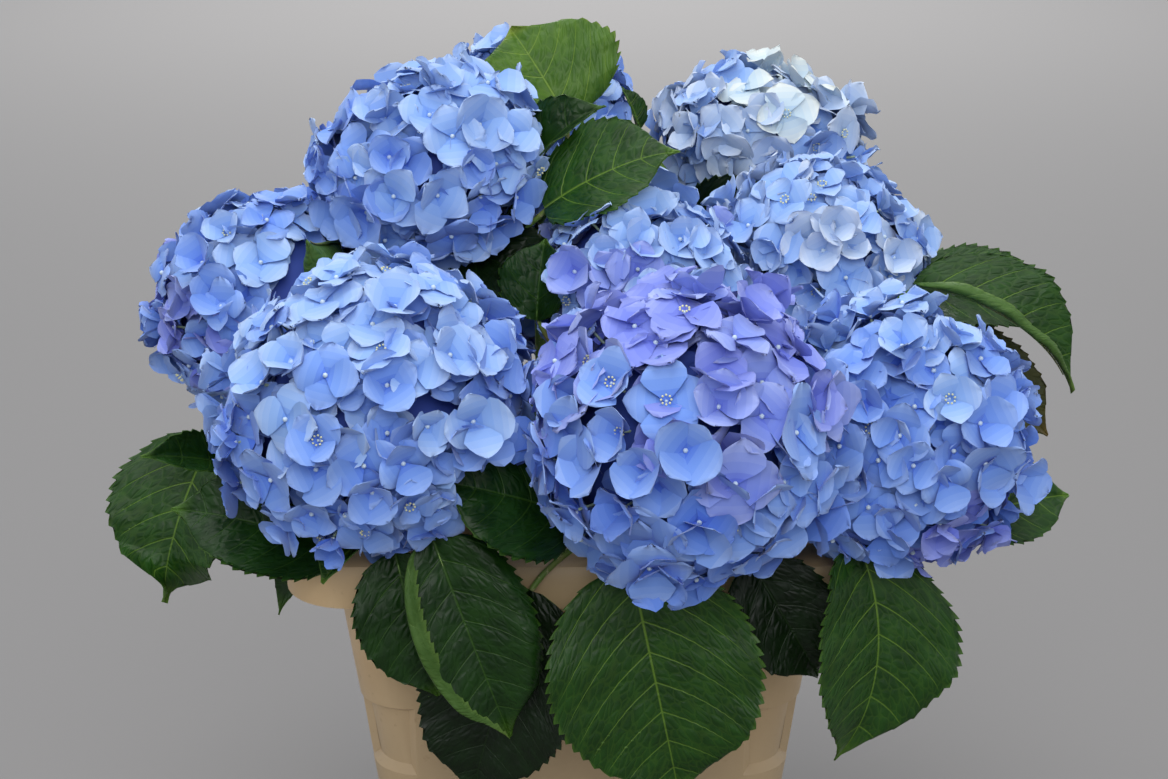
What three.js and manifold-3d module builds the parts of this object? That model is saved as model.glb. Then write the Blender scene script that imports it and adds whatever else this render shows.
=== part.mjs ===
// Cut mophead hydrangeas standing in a tapered rectangular plastic flower bucket.
//
// Millimetres, +Z up. The origin is the centre of the bucket's flat underside, X runs along its
// broad sides and the front looks towards -Y. Each cane is three solids, one after the other: a
// tapering stem from the bucket's floor, a leafy shoot on its tip, and the bloom that the shoot
// carries. Neighbouring solids keep a small gap.

import * as THREE from "three";
import { mergeVertices } from "three/addons/utils/BufferGeometryUtils.js";
import Module from "manifold-3d";

const wasm = await Module();
wasm.setup();

// ---- Driving dimensions ---------------------------------------------------------------------

const GAP = 0.3; // between neighbouring solids
const CLEARANCE = 0.8; // kept free round leaves where another piece stands
const MERGED = 0.01; // corners nearer than this become one

const BUCKET = {
  height: 320,
  rim: { halfX: 165, halfY: 112, radius: 40, drop: 26, thickness: 3, rounding: 4 },
  top: { halfX: 139, halfY: 88 }, // the wall's outside, where the rim's skirt ends
  foot: { halfX: 100, halfY: 56 }, // the wall's outside, at the underside
  cornerRadius: 30,
  cornerSteps: 3,
  wall: 3,
  footBevel: 3,
  niche: { low: 170, high: 219, depth: 5, reach: 34, ramp: 6 }, // the recess in each corner
};

const STEM = {
  footRadius: 4.6,
  tipRadius: 3.6,
  neckRadius: 3.1,
  sides: 6,
  steps: 4,
  fromWall: 16, // how far a cane's middle keeps from the wall's outside in the bucket's mouth
  overRim: 7, // the height over the rim at which it bends outwards
  spread: 0.85, // how far it has come from the middle there, as a part of its whole way
};
const SHOOT = { start: 0.72, steps: 3 }; // where along the cane the leafy shoot begins

const LEAF = {
  thickness: 1.6,
  stations: 6,
  widest: 0.44, // where along the blade
  leastHalf: 1,
  footPart: 0.02,
  rolled: 0.5, // blades that roll more than this get more columns
  belowNeck: [14, 26], // the two nodes of a shoot
};
const PETIOLE = { radius: 2.1, taper: 0.5, sunk: 0.1, level: 0.4, lead: 0.15, sides: 4, steps: 3 };
const SPARE = { reach: 38, drop: 6, length: 108, width: 78, spread: 1.2, dip: [0.5, 0.85, 0.65] };

const BLOOM = {
  core: 0.87, // sizes below are parts of the bloom's own
  florets: 19,
  floretRadius: 26, // millimetres
  eye: 0.95, // how far out a floret's middle lies
  root: 0.8, // and where it starts
  coverage: 2.25, // how far round from the bloom's axis florets stand, in radians
  neck: 0.78, // where the shoot ends, below the middle
  peduncle: 0.6, // the length of the stalk above the neck
  flatFrom: 1.7, // the underside is flatter than the top from this angle on
  flatBy: 0.28,
  rounds: 11,
  levels: 8,
};
const GOLDEN_ANGLE = Math.PI * (3 - Math.sqrt(5));
const FOCUS = new THREE.Vector3(0, 0, 150); // the point from which the bunch fans out

// One row a cane: the bloom's middle, its half width, its half height along its own axis, where
// the stem stands on the bucket's floor, and how many leaves hang out from its neck by rule.
const CANES = [
  { name: "left_top", centre: [-94, 50, 510], across: 80, along: 68, foot: [-28, 12], spare: 0 },
  { name: "back_top", centre: [-31, 160, 509], across: 60, along: 60, foot: [-12, 36], spare: 1 },
  { name: "left", centre: [-194, 28, 426], across: 72, along: 70, foot: [-76, 4], spare: 0 },
  { name: "front_left", centre: [-112, -100, 406], across: 90, along: 84, foot: [-52, -30], spare: 0 },
  { name: "front_centre", centre: [52, -146, 405], across: 84, along: 86, foot: [16, -34], spare: 0 },
  { name: "right", centre: [179, -90, 385], across: 80, along: 78, foot: [76, -28], spare: 0 },
  { name: "right_top", centre: [155, 62, 450], across: 71, along: 59, foot: [58, 12], spare: 1 },
  { name: "middle", centre: [35, 12, 442], across: 66, along: 60, foot: [14, 2], spare: 2 },
  { name: "right_back", centre: [119, 178, 494], across: 75, along: 56, foot: [32, 34], spare: 1 },
  { name: "back_left", centre: [-145, 148, 398], across: 70, along: 64, foot: [-62, 34], spare: 3 },
  { name: "back_right", centre: [165, 165, 385], across: 70, along: 64, foot: [72, 34], spare: 3 },
  { name: "back", centre: [20, 172, 392], across: 72, along: 66, foot: [4, 38], spare: 2 },
];

// One row a leaf: its cane, the two ends of its blade, its width, the way its upper face looks,
// how far the blade arches, the angle of its two halves to the midrib and the roll of its edges.
const LEAVES = [
  ["back_top", [-12, 100, 529], [-44, 125, 573], 86, [0.1, -0.9, 0.4], 0.06, 0.1, 0.4],
  ["left_top", [-14, 20, 493], [55, 10, 524], 84, [-0.25, -0.6, 0.75], 0.08, 0.15, 0.3],
  ["left_top", [-30, 55, 504], [14, 50, 543], 46, [-0.5, -0.6, 0.6], 0.1, 0.5, 0.4],
  ["middle", [-25, -10, 429], [-20, 5, 474], 50, [-0.3, -0.9, 0.3], 0.05, 0.3, 0.4],
  ["middle", [-17, 60, 470], [48, 75, 478], 48, [0, -0.5, 0.85], 0.12, 0.2, 0.3],
  ["right_back", [38, 150, 509], [26, 150, 536], 18, [0.8, -0.6, 0], 0.05, 0.4, 0.4],
  ["front_left", [-146, -25, 448], [-150, -20, 479], 52, [0, 1, -0.3], 0.02, 0.4, 3.6],
  ["left", [-209, -25, 345], [-232, -62, 277], 84, [-0.35, -0.9, 0.3], 0.1, 0.1, 0.3],
  ["left", [-201, -40, 353], [-242, -75, 370], 34, [-0.1, -0.8, 0.6], 0.06, 0.5, 0.4],
  ["front_left", [-132, -100, 325], [-222, -105, 351], 68, [-0.1, -0.75, 0.65], 0.1, 0.15, 0.3],
  ["front_left", [-117, -128, 341], [-136, -150, 326], 26, [-0.5, -0.8, 0.2], 0.05, 0.5, 0.4],
  ["front_left", [-99, -128, 334], [-77, -138, 253], 64, [-0.15, -0.95, 0.2], 0.06, 0.1, 0.3],
  ["front_left", [-74, -140, 343], [-37, -152, 239], 98, [0.05, -1, 0.2], 0.05, 0.1, 1.6],
  ["front_centre", [-3, -124, 354], [-73, -152, 384], 76, [-0.1, -0.8, 0.6], 0.06, 0.1, 0.3],
  ["front_centre", [-28, -123, 311], [-61, -129, 186], 92, [-0.1, -0.95, 0.25], 0.04, 0.1, 0.2],
  ["front_centre", [27, -142, 332], [55, -150, 197], 120, [0.02, -0.95, 0.3], 0.05, 0.06, 0.2],
  ["front_centre", [92, -124, 327], [131, -126, 259], 62, [0.1, -0.95, 0.2], 0.05, 0.15, 0.2],
  ["right", [141, -124, 337], [136, -146, 220], 84, [0.45, -0.85, 0.15], 0.08, 0.12, 0.3],
  ["right", [212, -62, 328], [279, -50, 338], 52, [0.1, -0.8, 0.6], 0.06, 0.1, 0.3],
  ["right_top", [185, 65, 420], [291, 50, 416], 74, [0.1, -0.5, 0.85], 0.1, 0.1, 0.3],
  ["right_top", [193, 10, 444], [286, -10, 391], 74, [0.35, -0.5, 0.8], 0.16, 0.45, 0.4],
  ["right_top", [195, 45, 405], [273, 22, 353], 60, [0.3, -0.8, 0.5], 0.05, 0.1, 0.3],
  ["back_left", [-130, 130, 290], [-199, 88, 203], 56, [-0.3, -0.4, 0.85], 0.05, 0.3, 0.4],
];

const MATERIALS = {
  plastic: { color: 0xd9c19a, roughness: 0.45 },
  stem: { color: 0x6f8f3c, roughness: 0.6 },
  leaf: { color: 0x1f4d1c, roughness: 0.5 },
  sepal: { color: 0x7fa3e6, roughness: 0.8 },
};

// ---- Helpers --------------------------------------------------------------------------------

const vec = (p) => new THREE.Vector3(...p);
const mix = (from, to, part) => from + (to - from) * part;

function geometryOf(points, faces) {
  const geometry = new THREE.BufferGeometry().setFromPoints(points);
  geometry.setIndex(faces);
  return geometry;
}

// A closed skin over rings with an even count of points. Each end is closed by a strip of faces
// between the first half of its ring and the second.
function loft(rings) {
  const count = rings[0].length;
  const points = rings.flat();
  const last = points.length - count;
  const faces = [];
  const quad = (a, b, c, d) => faces.push(a, b, c, a, c, d);
  for (let start = 0; start < last; start += count)
    for (let i = 0; i < count; i++) {
      const a = start + i;
      const b = start + ((i + 1) % count);
      quad(a, b, b + count, a + count);
    }
  for (let i = 0; i < count / 2 - 1; i++) {
    const j = count - 1 - i;
    quad(i, j, j - 1, i + 1);
    quad(last + i, last + i + 1, last + j - 1, last + j);
  }
  return geometryOf(points, faces);
}

function solidOf(geometry) {
  const bare = geometry.clone();
  bare.deleteAttribute("normal");
  bare.deleteAttribute("uv");
  const merged = mergeVertices(bare);
  return new wasm.Manifold(
    new wasm.Mesh({
      numProp: 3,
      vertProperties: new Float32Array(merged.attributes.position.array),
      triVerts: new Uint32Array(merged.index.array),
    }),
  );
}

// The solid's faces with near corners joined, so that no face is a sliver.
function geometryFrom(solid) {
  const mesh = solid.getMesh();
  const geometry = new THREE.BufferGeometry();
  geometry.setAttribute("position", new THREE.BufferAttribute(mesh.vertProperties, mesh.numProp));
  geometry.setIndex(new THREE.BufferAttribute(mesh.triVerts, 1));
  const merged = mergeVertices(geometry, MERGED);
  const corners = Array.from(merged.index.array);
  const faces = [];
  for (let i = 0; i < corners.length; i += 3) {
    const face = corners.slice(i, i + 3);
    if (new Set(face).size === 3) faces.push(...face);
  }
  merged.setIndex(faces);
  return merged;
}

// The largest body of a solid: loose scraps are dropped.
function largestOf(solid) {
  const bodies = solid.decompose();
  return bodies.reduce((best, body) => (body.volume() > best.volume() ? body : best));
}

function boxesMeet(a, b) {
  const [p, q] = [a.boundingBox(), b.boundingBox()];
  return [0, 1, 2].every((i) => p.min[i] < q.max[i] && q.min[i] < p.max[i]);
}

const touches = (solid, others) =>
  others.some((other) => boxesMeet(solid, other) && solid.intersect(other).volume() > 0);

// A repeatable stream of numbers from 0 to 1.
function seeded(seed) {
  let state = seed;
  return () => {
    state = (state * 1664525 + 1013904223) % 2 ** 32;
    return state / 2 ** 32;
  };
}

// A ring of points round a middle, across the direction ahead.
function ringRound(middle, ahead, radius, count, spin) {
  const side = new THREE.Vector3(1, 0.01, 0).cross(ahead).normalize();
  const up = ahead.clone().cross(side);
  return Array.from({ length: count }, (_, i) => {
    const turn = spin + (2 * Math.PI * i) / count;
    return middle
      .clone()
      .addScaledVector(side, radius * Math.cos(turn))
      .addScaledVector(up, radius * Math.sin(turn));
  });
}

// A round limb along a curve from one part of its length to another, thinning as it goes.
function limb(curve, [from, to], [radiusFrom, radiusTo], sides, steps) {
  return loft(
    Array.from({ length: steps + 1 }, (_, s) => {
      const along = mix(from, to, s / steps);
      const radius = mix(radiusFrom, radiusTo, s / steps);
      return ringRound(curve.getPointAt(along), curve.getTangentAt(along), radius, sides, 0);
    }),
  );
}

// ---- The bucket -----------------------------------------------------------------------------

// A rounded rectangle, anticlockwise seen from above. Each corner is set back by `inset` between
// the two places where its niche ends.
function section(halfX, halfY, radius, z, inset) {
  const { ramp } = BUCKET.niche;
  const reach = Math.max(BUCKET.niche.reach, radius + 1);
  const corner = [
    [halfX, halfY - reach - ramp],
    [halfX - inset, halfY - reach],
  ];
  for (let i = 0; i <= BUCKET.cornerSteps; i++) {
    const turn = (Math.PI / 2) * (i / BUCKET.cornerSteps);
    corner.push([
      halfX - inset - radius * (1 - Math.cos(turn)),
      halfY - inset - radius * (1 - Math.sin(turn)),
    ]);
  }
  corner.push([halfX - reach, halfY - inset], [halfX - reach - ramp, halfY]);
  const mirrored = corner.toReversed();
  return [
    ...corner.map(([x, y]) => new THREE.Vector3(x, y, z)),
    ...mirrored.map(([x, y]) => new THREE.Vector3(-x, y, z)),
    ...corner.map(([x, y]) => new THREE.Vector3(-x, -y, z)),
    ...mirrored.map(([x, y]) => new THREE.Vector3(x, -y, z)),
  ];
}

function bucketGeometry() {
  const { height, rim, top, foot, cornerRadius, wall, footBevel, niche } = BUCKET;
  const skirtEnd = height - rim.drop;
  const underRim = height - rim.thickness;
  const wallAt = (z, offset, inset) => {
    const halfX = mix(foot.halfX, top.halfX, z / skirtEnd) - offset;
    const halfY = mix(foot.halfY, top.halfY, z / skirtEnd) - offset;
    return section(halfX, halfY, cornerRadius - offset, z, inset);
  };
  const rimAt = (z, offset) =>
    section(rim.halfX - offset, rim.halfY - offset, rim.radius - offset, z, 0);
  const nicheSteps = [
    [niche.low, 0],
    [niche.low + niche.ramp, niche.depth],
    [niche.high - niche.ramp, niche.depth],
    [niche.high, 0],
  ];
  return loft([
    wallAt(0, footBevel, 0),
    wallAt(footBevel, 0, 0),
    ...nicheSteps.map(([z, inset]) => wallAt(z, 0, inset)),
    wallAt(underRim, 0, 0),
    rimAt(underRim, rim.thickness),
    rimAt(skirtEnd, rim.thickness),
    rimAt(skirtEnd, 0),
    rimAt(height - rim.rounding, 0),
    rimAt(height, rim.rounding),
    wallAt(height, wall, 0),
    ...nicheSteps.toReversed().map(([z, inset]) => wallAt(z, wall, inset)),
    wallAt(wall, wall, 0),
  ]);
}

// ---- Canes ----------------------------------------------------------------------------------

// The bloom's axis, the neck where the shoot ends, and the cane's course: up from the floor,
// through the bucket's mouth and over its rim.
function laidOut(cane) {
  const centre = vec(cane.centre);
  const axis = centre.clone().sub(FOCUS).normalize();
  const neck = centre.clone().addScaledVector(axis, -BLOOM.neck * cane.along);
  const limitX = BUCKET.top.halfX - STEM.fromWall;
  const limitY = BUCKET.top.halfY - STEM.fromWall;
  const mouth = new THREE.Vector3(
    THREE.MathUtils.clamp(neck.x * STEM.spread, -limitX, limitX),
    THREE.MathUtils.clamp(neck.y * STEM.spread, -limitY, limitY),
    BUCKET.height + STEM.overRim,
  );
  const foot = new THREE.Vector3(...cane.foot, BUCKET.wall + GAP);
  const lean = mouth.clone().sub(foot);
  foot.z += (STEM.footRadius * Math.hypot(lean.x, lean.y)) / lean.length();
  const curve = new THREE.CatmullRomCurve3([foot, mouth, neck]);
  return { ...cane, centre, axis, neck, curve, length: curve.getLength() };
}

// ---- Leaves ---------------------------------------------------------------------------------

// The blade's half width at a part of its length, as a part of the half width at its widest.
function leafOutline(u) {
  const { widest } = LEAF;
  if (u < widest) return (1 - ((widest - u) / widest) ** 2) ** 0.4;
  return Math.max(1 - ((u - widest) / (1 - widest)) ** 2, 0) ** 0.9;
}

// The blade as a function: u runs from its foot to its tip, v from edge to edge, and lift is the
// height over its middle surface. Its halves stand at an angle to the midrib and roll like arcs.
function bladeOf([, base, tip, width, face, bow, fold, roll], clearance) {
  const start = vec(base);
  const ahead = vec(tip).sub(start);
  const length = ahead.length();
  ahead.normalize();
  const up = vec(face);
  up.addScaledVector(ahead, -up.dot(ahead)).normalize();
  const side = ahead.clone().cross(up);
  return (u, v, lift) => {
    const half = Math.max((width / 2) * leafOutline(u), LEAF.leastHalf) + clearance;
    const edge = fold + roll * Math.abs(v);
    const across = (half * Math.sign(v) * (Math.sin(edge) - Math.sin(fold))) / roll;
    const raised = (half * (Math.cos(fold) - Math.cos(edge))) / roll;
    return start
      .clone()
      .addScaledVector(ahead, length * u + clearance * (2 * u - 1))
      .addScaledVector(side, across)
      .addScaledVector(up, raised + 4 * bow * length * u * (1 - u) + lift);
  };
}

function leafGeometry(leaf, clearance) {
  const at = bladeOf(leaf, clearance);
  const thick = LEAF.thickness / 2 + clearance;
  const columns = leaf.at(-1) > LEAF.rolled ? [-1, -0.6, -0.25, 0, 0.25, 0.6, 1] : [-1, 0, 1];
  return loft(
    Array.from({ length: LEAF.stations }, (_, s) => {
      const u = mix(LEAF.footPart, 1, s / (LEAF.stations - 1));
      const above = columns.map((v) => at(u, v, thick));
      return [...above, ...columns.toReversed().map((v) => at(u, v, -thick))];
    }),
  );
}

// The stalk from a node of the shoot into the foot of the blade: level at first, then along it.
function petioleGeometry(cane, leaf, belowNeck, clearance) {
  const at = bladeOf(leaf, 0);
  const start = cane.curve.getPointAt(1 - belowNeck / cane.length);
  const foot = at(0, 0, 0);
  const inside = at(PETIOLE.sunk, 0, 0);
  const reach = start.distanceTo(foot);
  const level = foot.clone().sub(start).setZ(0);
  const back = inside.clone().sub(foot).setLength(-reach * PETIOLE.lead);
  const curve = new THREE.CubicBezierCurve3(
    start,
    start.clone().addScaledVector(level, PETIOLE.level),
    foot.clone().add(back),
    inside,
  );
  const radius = PETIOLE.radius + clearance;
  return limb(curve, [0, 1], [radius, radius * PETIOLE.taper], PETIOLE.sides, PETIOLE.steps);
}

// The leaves of a shoot with their petioles, grown all round by a clearance.
function foliageOf(cane, leaves, clearance) {
  return leaves.flatMap((leaf, index) => {
    const belowNeck = LEAF.belowNeck[index % LEAF.belowNeck.length];
    return [
      solidOf(petioleGeometry(cane, leaf, belowNeck, clearance)),
      solidOf(leafGeometry(leaf, clearance)),
    ];
  });
}

// A leaf that hangs out from the neck and dips towards its tip.
function spareLeaf(cane, index) {
  const outward = Math.atan2(cane.axis.y, cane.axis.x);
  const turn = outward + (index - (cane.spare - 1) / 2) * SPARE.spread;
  const dip = SPARE.dip[index % SPARE.dip.length];
  const out = new THREE.Vector3(Math.cos(turn), Math.sin(turn), 0);
  const along = out.clone().multiplyScalar(Math.cos(dip)).setZ(-Math.sin(dip));
  const face = out.clone().multiplyScalar(Math.sin(dip)).setZ(Math.cos(dip));
  const base = cane.neck.clone().addScaledVector(out, SPARE.reach);
  base.z -= SPARE.drop;
  const tip = base.clone().addScaledVector(along, SPARE.length);
  return [cane.name, base.toArray(), tip.toArray(), SPARE.width, face.toArray(), 0.1, 0.1, 0.3];
}

// ---- Blooms ---------------------------------------------------------------------------------

// A point of the bloom in a direction given by its angle from the axis and round it.
function bloomAt(cane, angle, round, part) {
  const turn = new THREE.Quaternion().setFromUnitVectors(new THREE.Vector3(0, 0, 1), cane.axis);
  const under = Math.max(angle - BLOOM.flatFrom, 0) / (Math.PI - BLOOM.flatFrom);
  const wide = cane.across * Math.sin(angle);
  return new THREE.Vector3(wide * Math.cos(round), wide * Math.sin(round), cane.along * Math.cos(angle))
    .multiplyScalar(part * (1 - BLOOM.flatBy * under))
    .applyQuaternion(turn)
    .add(cane.centre);
}

function coreGeometry(cane) {
  const geometry = new THREE.SphereGeometry(1, BLOOM.rounds, BLOOM.levels);
  const position = geometry.attributes.position;
  const point = new THREE.Vector3();
  for (let i = 0; i < position.count; i++) {
    point.fromBufferAttribute(position, i);
    const angle = Math.acos(THREE.MathUtils.clamp(point.z, -1, 1));
    const round = Math.atan2(point.y, point.x);
    position.setXYZ(i, ...bloomAt(cane, angle, round, BLOOM.core));
  }
  return geometry;
}

// Four broad sepals as one square plate on a stalk that starts inside the core.
function floretGeometry(root, eye, spin) {
  const axis = eye.clone().sub(root).normalize();
  const plate = ringRound(eye, axis, BLOOM.floretRadius, 4, spin);
  const points = [root, ...plate, eye.clone().add(axis)];
  const faces = [];
  for (let i = 1; i <= 4; i++) {
    const next = (i % 4) + 1;
    faces.push(0, next, i, 5, i, next);
  }
  return geometryOf(points, faces);
}

// Florets stand out of the core, evenly spaced on a spiral.
function floretsOf(cane, random) {
  return Array.from({ length: BLOOM.florets }, (_, f) => {
    const angle = Math.acos(mix(1, Math.cos(BLOOM.coverage), (f + 0.5) / BLOOM.florets));
    const round = f * GOLDEN_ANGLE;
    const eye = bloomAt(cane, angle, round, BLOOM.eye);
    const root = bloomAt(cane, angle, round, BLOOM.root);
    return solidOf(floretGeometry(root, eye, random() * Math.PI));
  });
}

// ---- Assembly -------------------------------------------------------------------------------

const group = new THREE.Group();

function addNode(name, solid, { color, roughness }) {
  const material = new THREE.MeshStandardMaterial({ color, roughness, metalness: 0 });
  const mesh = new THREE.Mesh(geometryFrom(solid), material);
  mesh.name = name;
  group.add(mesh);
}

const canes = CANES.map(laidOut);
const bucket = solidOf(bucketGeometry());
addNode("bucket", bucket, MATERIALS.plastic);

const stems = canes.map((cane) => {
  const part = [0, SHOOT.start - GAP / cane.length];
  const radii = [STEM.footRadius, STEM.tipRadius];
  const stem = solidOf(limb(cane.curve, part, radii, STEM.sides, STEM.steps));
  addNode("stem_" + cane.name, stem, MATERIALS.stem);
  return stem;
});

// The bare shoots come first. A leaf that would touch the bucket, a stem, another shoot or its
// leaves is left out.
const shoots = canes.map((cane) => {
  const radii = [STEM.tipRadius, STEM.neckRadius];
  return solidOf(limb(cane.curve, [SHOOT.start, 1], radii, STEM.sides, SHOOT.steps));
});
const keepOut = [];
canes.forEach((cane, index) => {
  const rivals = [bucket, ...stems, ...shoots.toSpliced(index, 1), ...keepOut];
  const spare = Array.from({ length: cane.spare }, (_, i) => spareLeaf(cane, i));
  const own = LEAVES.filter(([name]) => name === cane.name);
  const leaves = [...own, ...spare].filter((leaf) =>
    foliageOf(cane, [leaf], CLEARANCE).every((piece) => !touches(piece, rivals)),
  );
  for (const piece of foliageOf(cane, leaves, 0)) shoots[index] = shoots[index].add(piece);
  keepOut.push(...foliageOf(cane, leaves, CLEARANCE));
  addNode("shoot_" + cane.name, shoots[index], MATERIALS.leaf);
});

// A core is cut clear of the leaves that lie against it, and a floret that would touch a leaf, a
// limb, the bucket or another bloom is left out.
const blooms = canes.map((cane) => solidOf(coreGeometry(cane)));
canes.forEach((cane, index) => {
  const ahead = cane.curve.getTangentAt(1);
  const foot = cane.neck.clone().addScaledVector(ahead, GAP);
  const end = cane.neck.clone().addScaledVector(ahead, BLOOM.peduncle * cane.along);
  const radii = [STEM.neckRadius, STEM.neckRadius];
  const stalk = limb(new THREE.LineCurve3(foot, end), [0, 1], radii, STEM.sides, 1);
  const rivals = [bucket, ...stems, ...shoots, ...keepOut, ...blooms.toSpliced(index, 1)];
  let bloom = blooms[index].add(solidOf(stalk));
  for (const piece of keepOut) if (boxesMeet(bloom, piece)) bloom = bloom.subtract(piece);
  for (const floret of floretsOf(cane, seeded(index + 1)))
    if (!touches(floret, rivals)) bloom = bloom.add(floret);
  blooms[index] = largestOf(bloom);
  addNode("bloom_" + cane.name, blooms[index], MATERIALS.sepal);
});

export default group;
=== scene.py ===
# %% [markdown]
# # Cut hydrangeas in a flower bucket
#
# A bunch of mophead hydrangeas stands in a tapered plastic bucket. The packed CAD model is the
# fixed frame: a bucket, and twelve canes that each carry a stem, a leafy shoot and a bloom. Here
# each of them gets its fine surface: a bucket with soft corners, canes with nodes and bark,
# leaves with teeth and veins, and heads of real-sized florets.

# %% Load the frame
import math

import bmesh
import bpy
import numpy as np
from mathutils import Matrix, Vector
from mathutils.bvhtree import BVHTree


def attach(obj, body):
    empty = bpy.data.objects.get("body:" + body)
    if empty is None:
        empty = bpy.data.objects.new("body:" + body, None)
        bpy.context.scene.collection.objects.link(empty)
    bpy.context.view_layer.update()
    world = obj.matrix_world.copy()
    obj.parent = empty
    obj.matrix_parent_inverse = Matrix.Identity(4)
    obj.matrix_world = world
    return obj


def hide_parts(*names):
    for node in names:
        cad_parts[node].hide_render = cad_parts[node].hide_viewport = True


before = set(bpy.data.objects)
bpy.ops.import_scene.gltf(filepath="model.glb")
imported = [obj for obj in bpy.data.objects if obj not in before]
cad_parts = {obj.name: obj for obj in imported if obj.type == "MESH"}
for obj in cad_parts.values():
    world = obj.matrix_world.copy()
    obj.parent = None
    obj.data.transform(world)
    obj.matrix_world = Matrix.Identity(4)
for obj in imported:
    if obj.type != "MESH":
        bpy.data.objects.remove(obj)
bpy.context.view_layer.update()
MM = 0.001
print("CAD nodes:", len(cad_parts))

# %% [markdown]
# ## Sizes
#
# The bunch is described by small tables, so that it can be changed in one place. The bucket's
# `rim`, `top` and `foot` are half its width and depth there, and `niche`, `depth` and `reach` give
# the recess in each corner. A cane's row holds the middle of its bloom, the bloom's half width and
# half height, where its stem stands on the bucket's floor, and which of its hanging leaves it
# keeps; `SPARES` says on how many places round the neck these are spread. A leaf's row holds its
# cane, the two ends of its blade, its width, the way its face looks, its arch, the angle of its
# halves, the roll of its edges and its colour. Lengths are millimetres, as a grower measures.

# %% Sizes
BUCKET = dict(height=320, rim=(165, 112), top=(139, 88), foot=(100, 56), drop=26, corner=30,
              wall=3, niche=(172, 217), depth=5, reach=31)
FOCUS = np.array([0.0, 0.0, 150.0])  # all blooms look away from this point
CANES = {
    "left_top": ((-94, 50, 510), 80, 68, (-28, 12), []),
    "back_top": ((-31, 160, 509), 60, 60, (-12, 36), [0]),
    "left": ((-194, 28, 426), 72, 70, (-76, 4), []),
    "front_left": ((-112, -100, 406), 90, 84, (-52, -30), []),
    "front_centre": ((52, -146, 405), 84, 86, (16, -34), []),
    "right": ((179, -90, 385), 80, 78, (76, -28), []),
    "right_top": ((155, 62, 450), 71, 59, (58, 12), [0]),
    "middle": ((35, 12, 442), 66, 60, (14, 2), [0]),
    "right_back": ((119, 178, 494), 75, 56, (32, 34), [0]),
    "back_left": ((-145, 148, 398), 70, 64, (-62, 34), [0, 1, 2]),
    "back_right": ((165, 165, 385), 70, 64, (72, 34), [0, 1, 2]),
    "back": ((20, 172, 392), 72, 66, (4, 38), [1]),
}
SPARES = {"back_top": 1, "right_top": 1, "middle": 2, "right_back": 1,
          "back_left": 3, "back_right": 3, "back": 2}
LEAVES = [
    ("back_top", (-7, 100, 524), (-43, 125, 577), 104, (0.1, -0.9, 0.4), 0.06, 0.05, 0.1, "light"),
    ("left_top", (-21, 20, 488), (56, 10, 525), 72, (-0.25, -0.6, 0.75), 0.08, 0.12, 0.2, "mid"),
    ("left_top", (-30, 55, 504), (14, 50, 543), 46, (-0.5, -0.6, 0.6), 0.1, 0.5, 0.4, "deep"),
    ("middle", (-25, -10, 429), (-20, 5, 474), 50, (-0.3, -0.9, 0.3), 0.05, 0.3, 0.4, "deep"),
    ("middle", (-17, 60, 470), (48, 75, 478), 48, (0, -0.5, 0.85), 0.12, 0.2, 0.3, "mid"),
    ("right_back", (38, 150, 509), (26, 150, 536), 18, (0.8, -0.6, 0), 0.05, 0.4, 0.4, "mid"),
    ("front_left", (-142, 24, 466), (-151, -40, 481), 80, (0.1, 0, -1), 0.02, 0.4, 2.5, "deep"),
    ("left", (-212, -22, 363), (-240, -62, 276), 88, (-0.35, -0.9, 0.3), 0.1, 0.1, 0.3, "mid"),
    ("left", (-201, -40, 353), (-242, -75, 370), 34, (-0.1, -0.8, 0.6), 0.06, 0.5, 0.4, "deep"),
    ("front_left", (-132, -100, 325), (-222, -105, 351), 68, (-0.1, -0.75, 0.65), 0.1, 0.15, 0.3,
     "deep"),
    ("front_left", (-117, -128, 341), (-136, -150, 326), 26, (-0.5, -0.8, 0.2), 0.05, 0.5, 0.4,
     "mid"),
    ("front_left", (-99, -128, 334), (-77, -138, 253), 64, (-0.15, -0.95, 0.2), 0.06, 0.1, 0.3,
     "deep"),
    ("front_left", (-78, -140, 348), (-37, -152, 235), 82, (0.05, -1, 0.2), 0.05, 0.1, 0.4,
     "deep"),
    ("front_centre", (-3, -124, 354), (-73, -152, 384), 76, (-0.1, -0.8, 0.6), 0.06, 0.1, 0.3,
     "deep"),
    ("front_centre", (-28, -123, 311), (-61, -129, 186), 92, (-0.1, -0.95, 0.25), 0.04, 0.1, 0.2,
     "dark"),
    ("front_centre", (27, -142, 332), (55, -150, 197), 120, (0.02, -0.95, 0.3), 0.05, 0.06, 0.2,
     "mid"),
    ("front_centre", (92, -124, 327), (131, -126, 259), 62, (0.1, -0.95, 0.2), 0.05, 0.15, 0.2,
     "dark"),
    ("right", (150, -124, 337), (141, -146, 218), 96, (0.45, -0.85, 0.15), 0.08, 0.12, 0.3, "mid"),
    ("right", (212, -62, 328), (279, -50, 338), 52, (0.1, -0.8, 0.6), 0.06, 0.1, 0.3, "mid"),
    ("right_top", (185, 65, 420), (291, 50, 416), 74, (0.1, -0.5, 0.85), 0.1, 0.1, 0.3, "mid"),
    ("right_top", (193, 10, 446), (288, -10, 388), 68, (0.35, -0.5, 0.8), 0.16, 0.5, 0.3, "mid"),
    ("right_top", (205, 45, 405), (284, 30, 346), 62, (0.3, -0.8, 0.5), 0.05, 0.1, 0.3, "brown"),
    ("back_left", (-130, 130, 290), (-199, 88, 203), 56, (-0.3, -0.4, 0.85), 0.05, 0.3, 0.4,
     "deep"),
]
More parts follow.
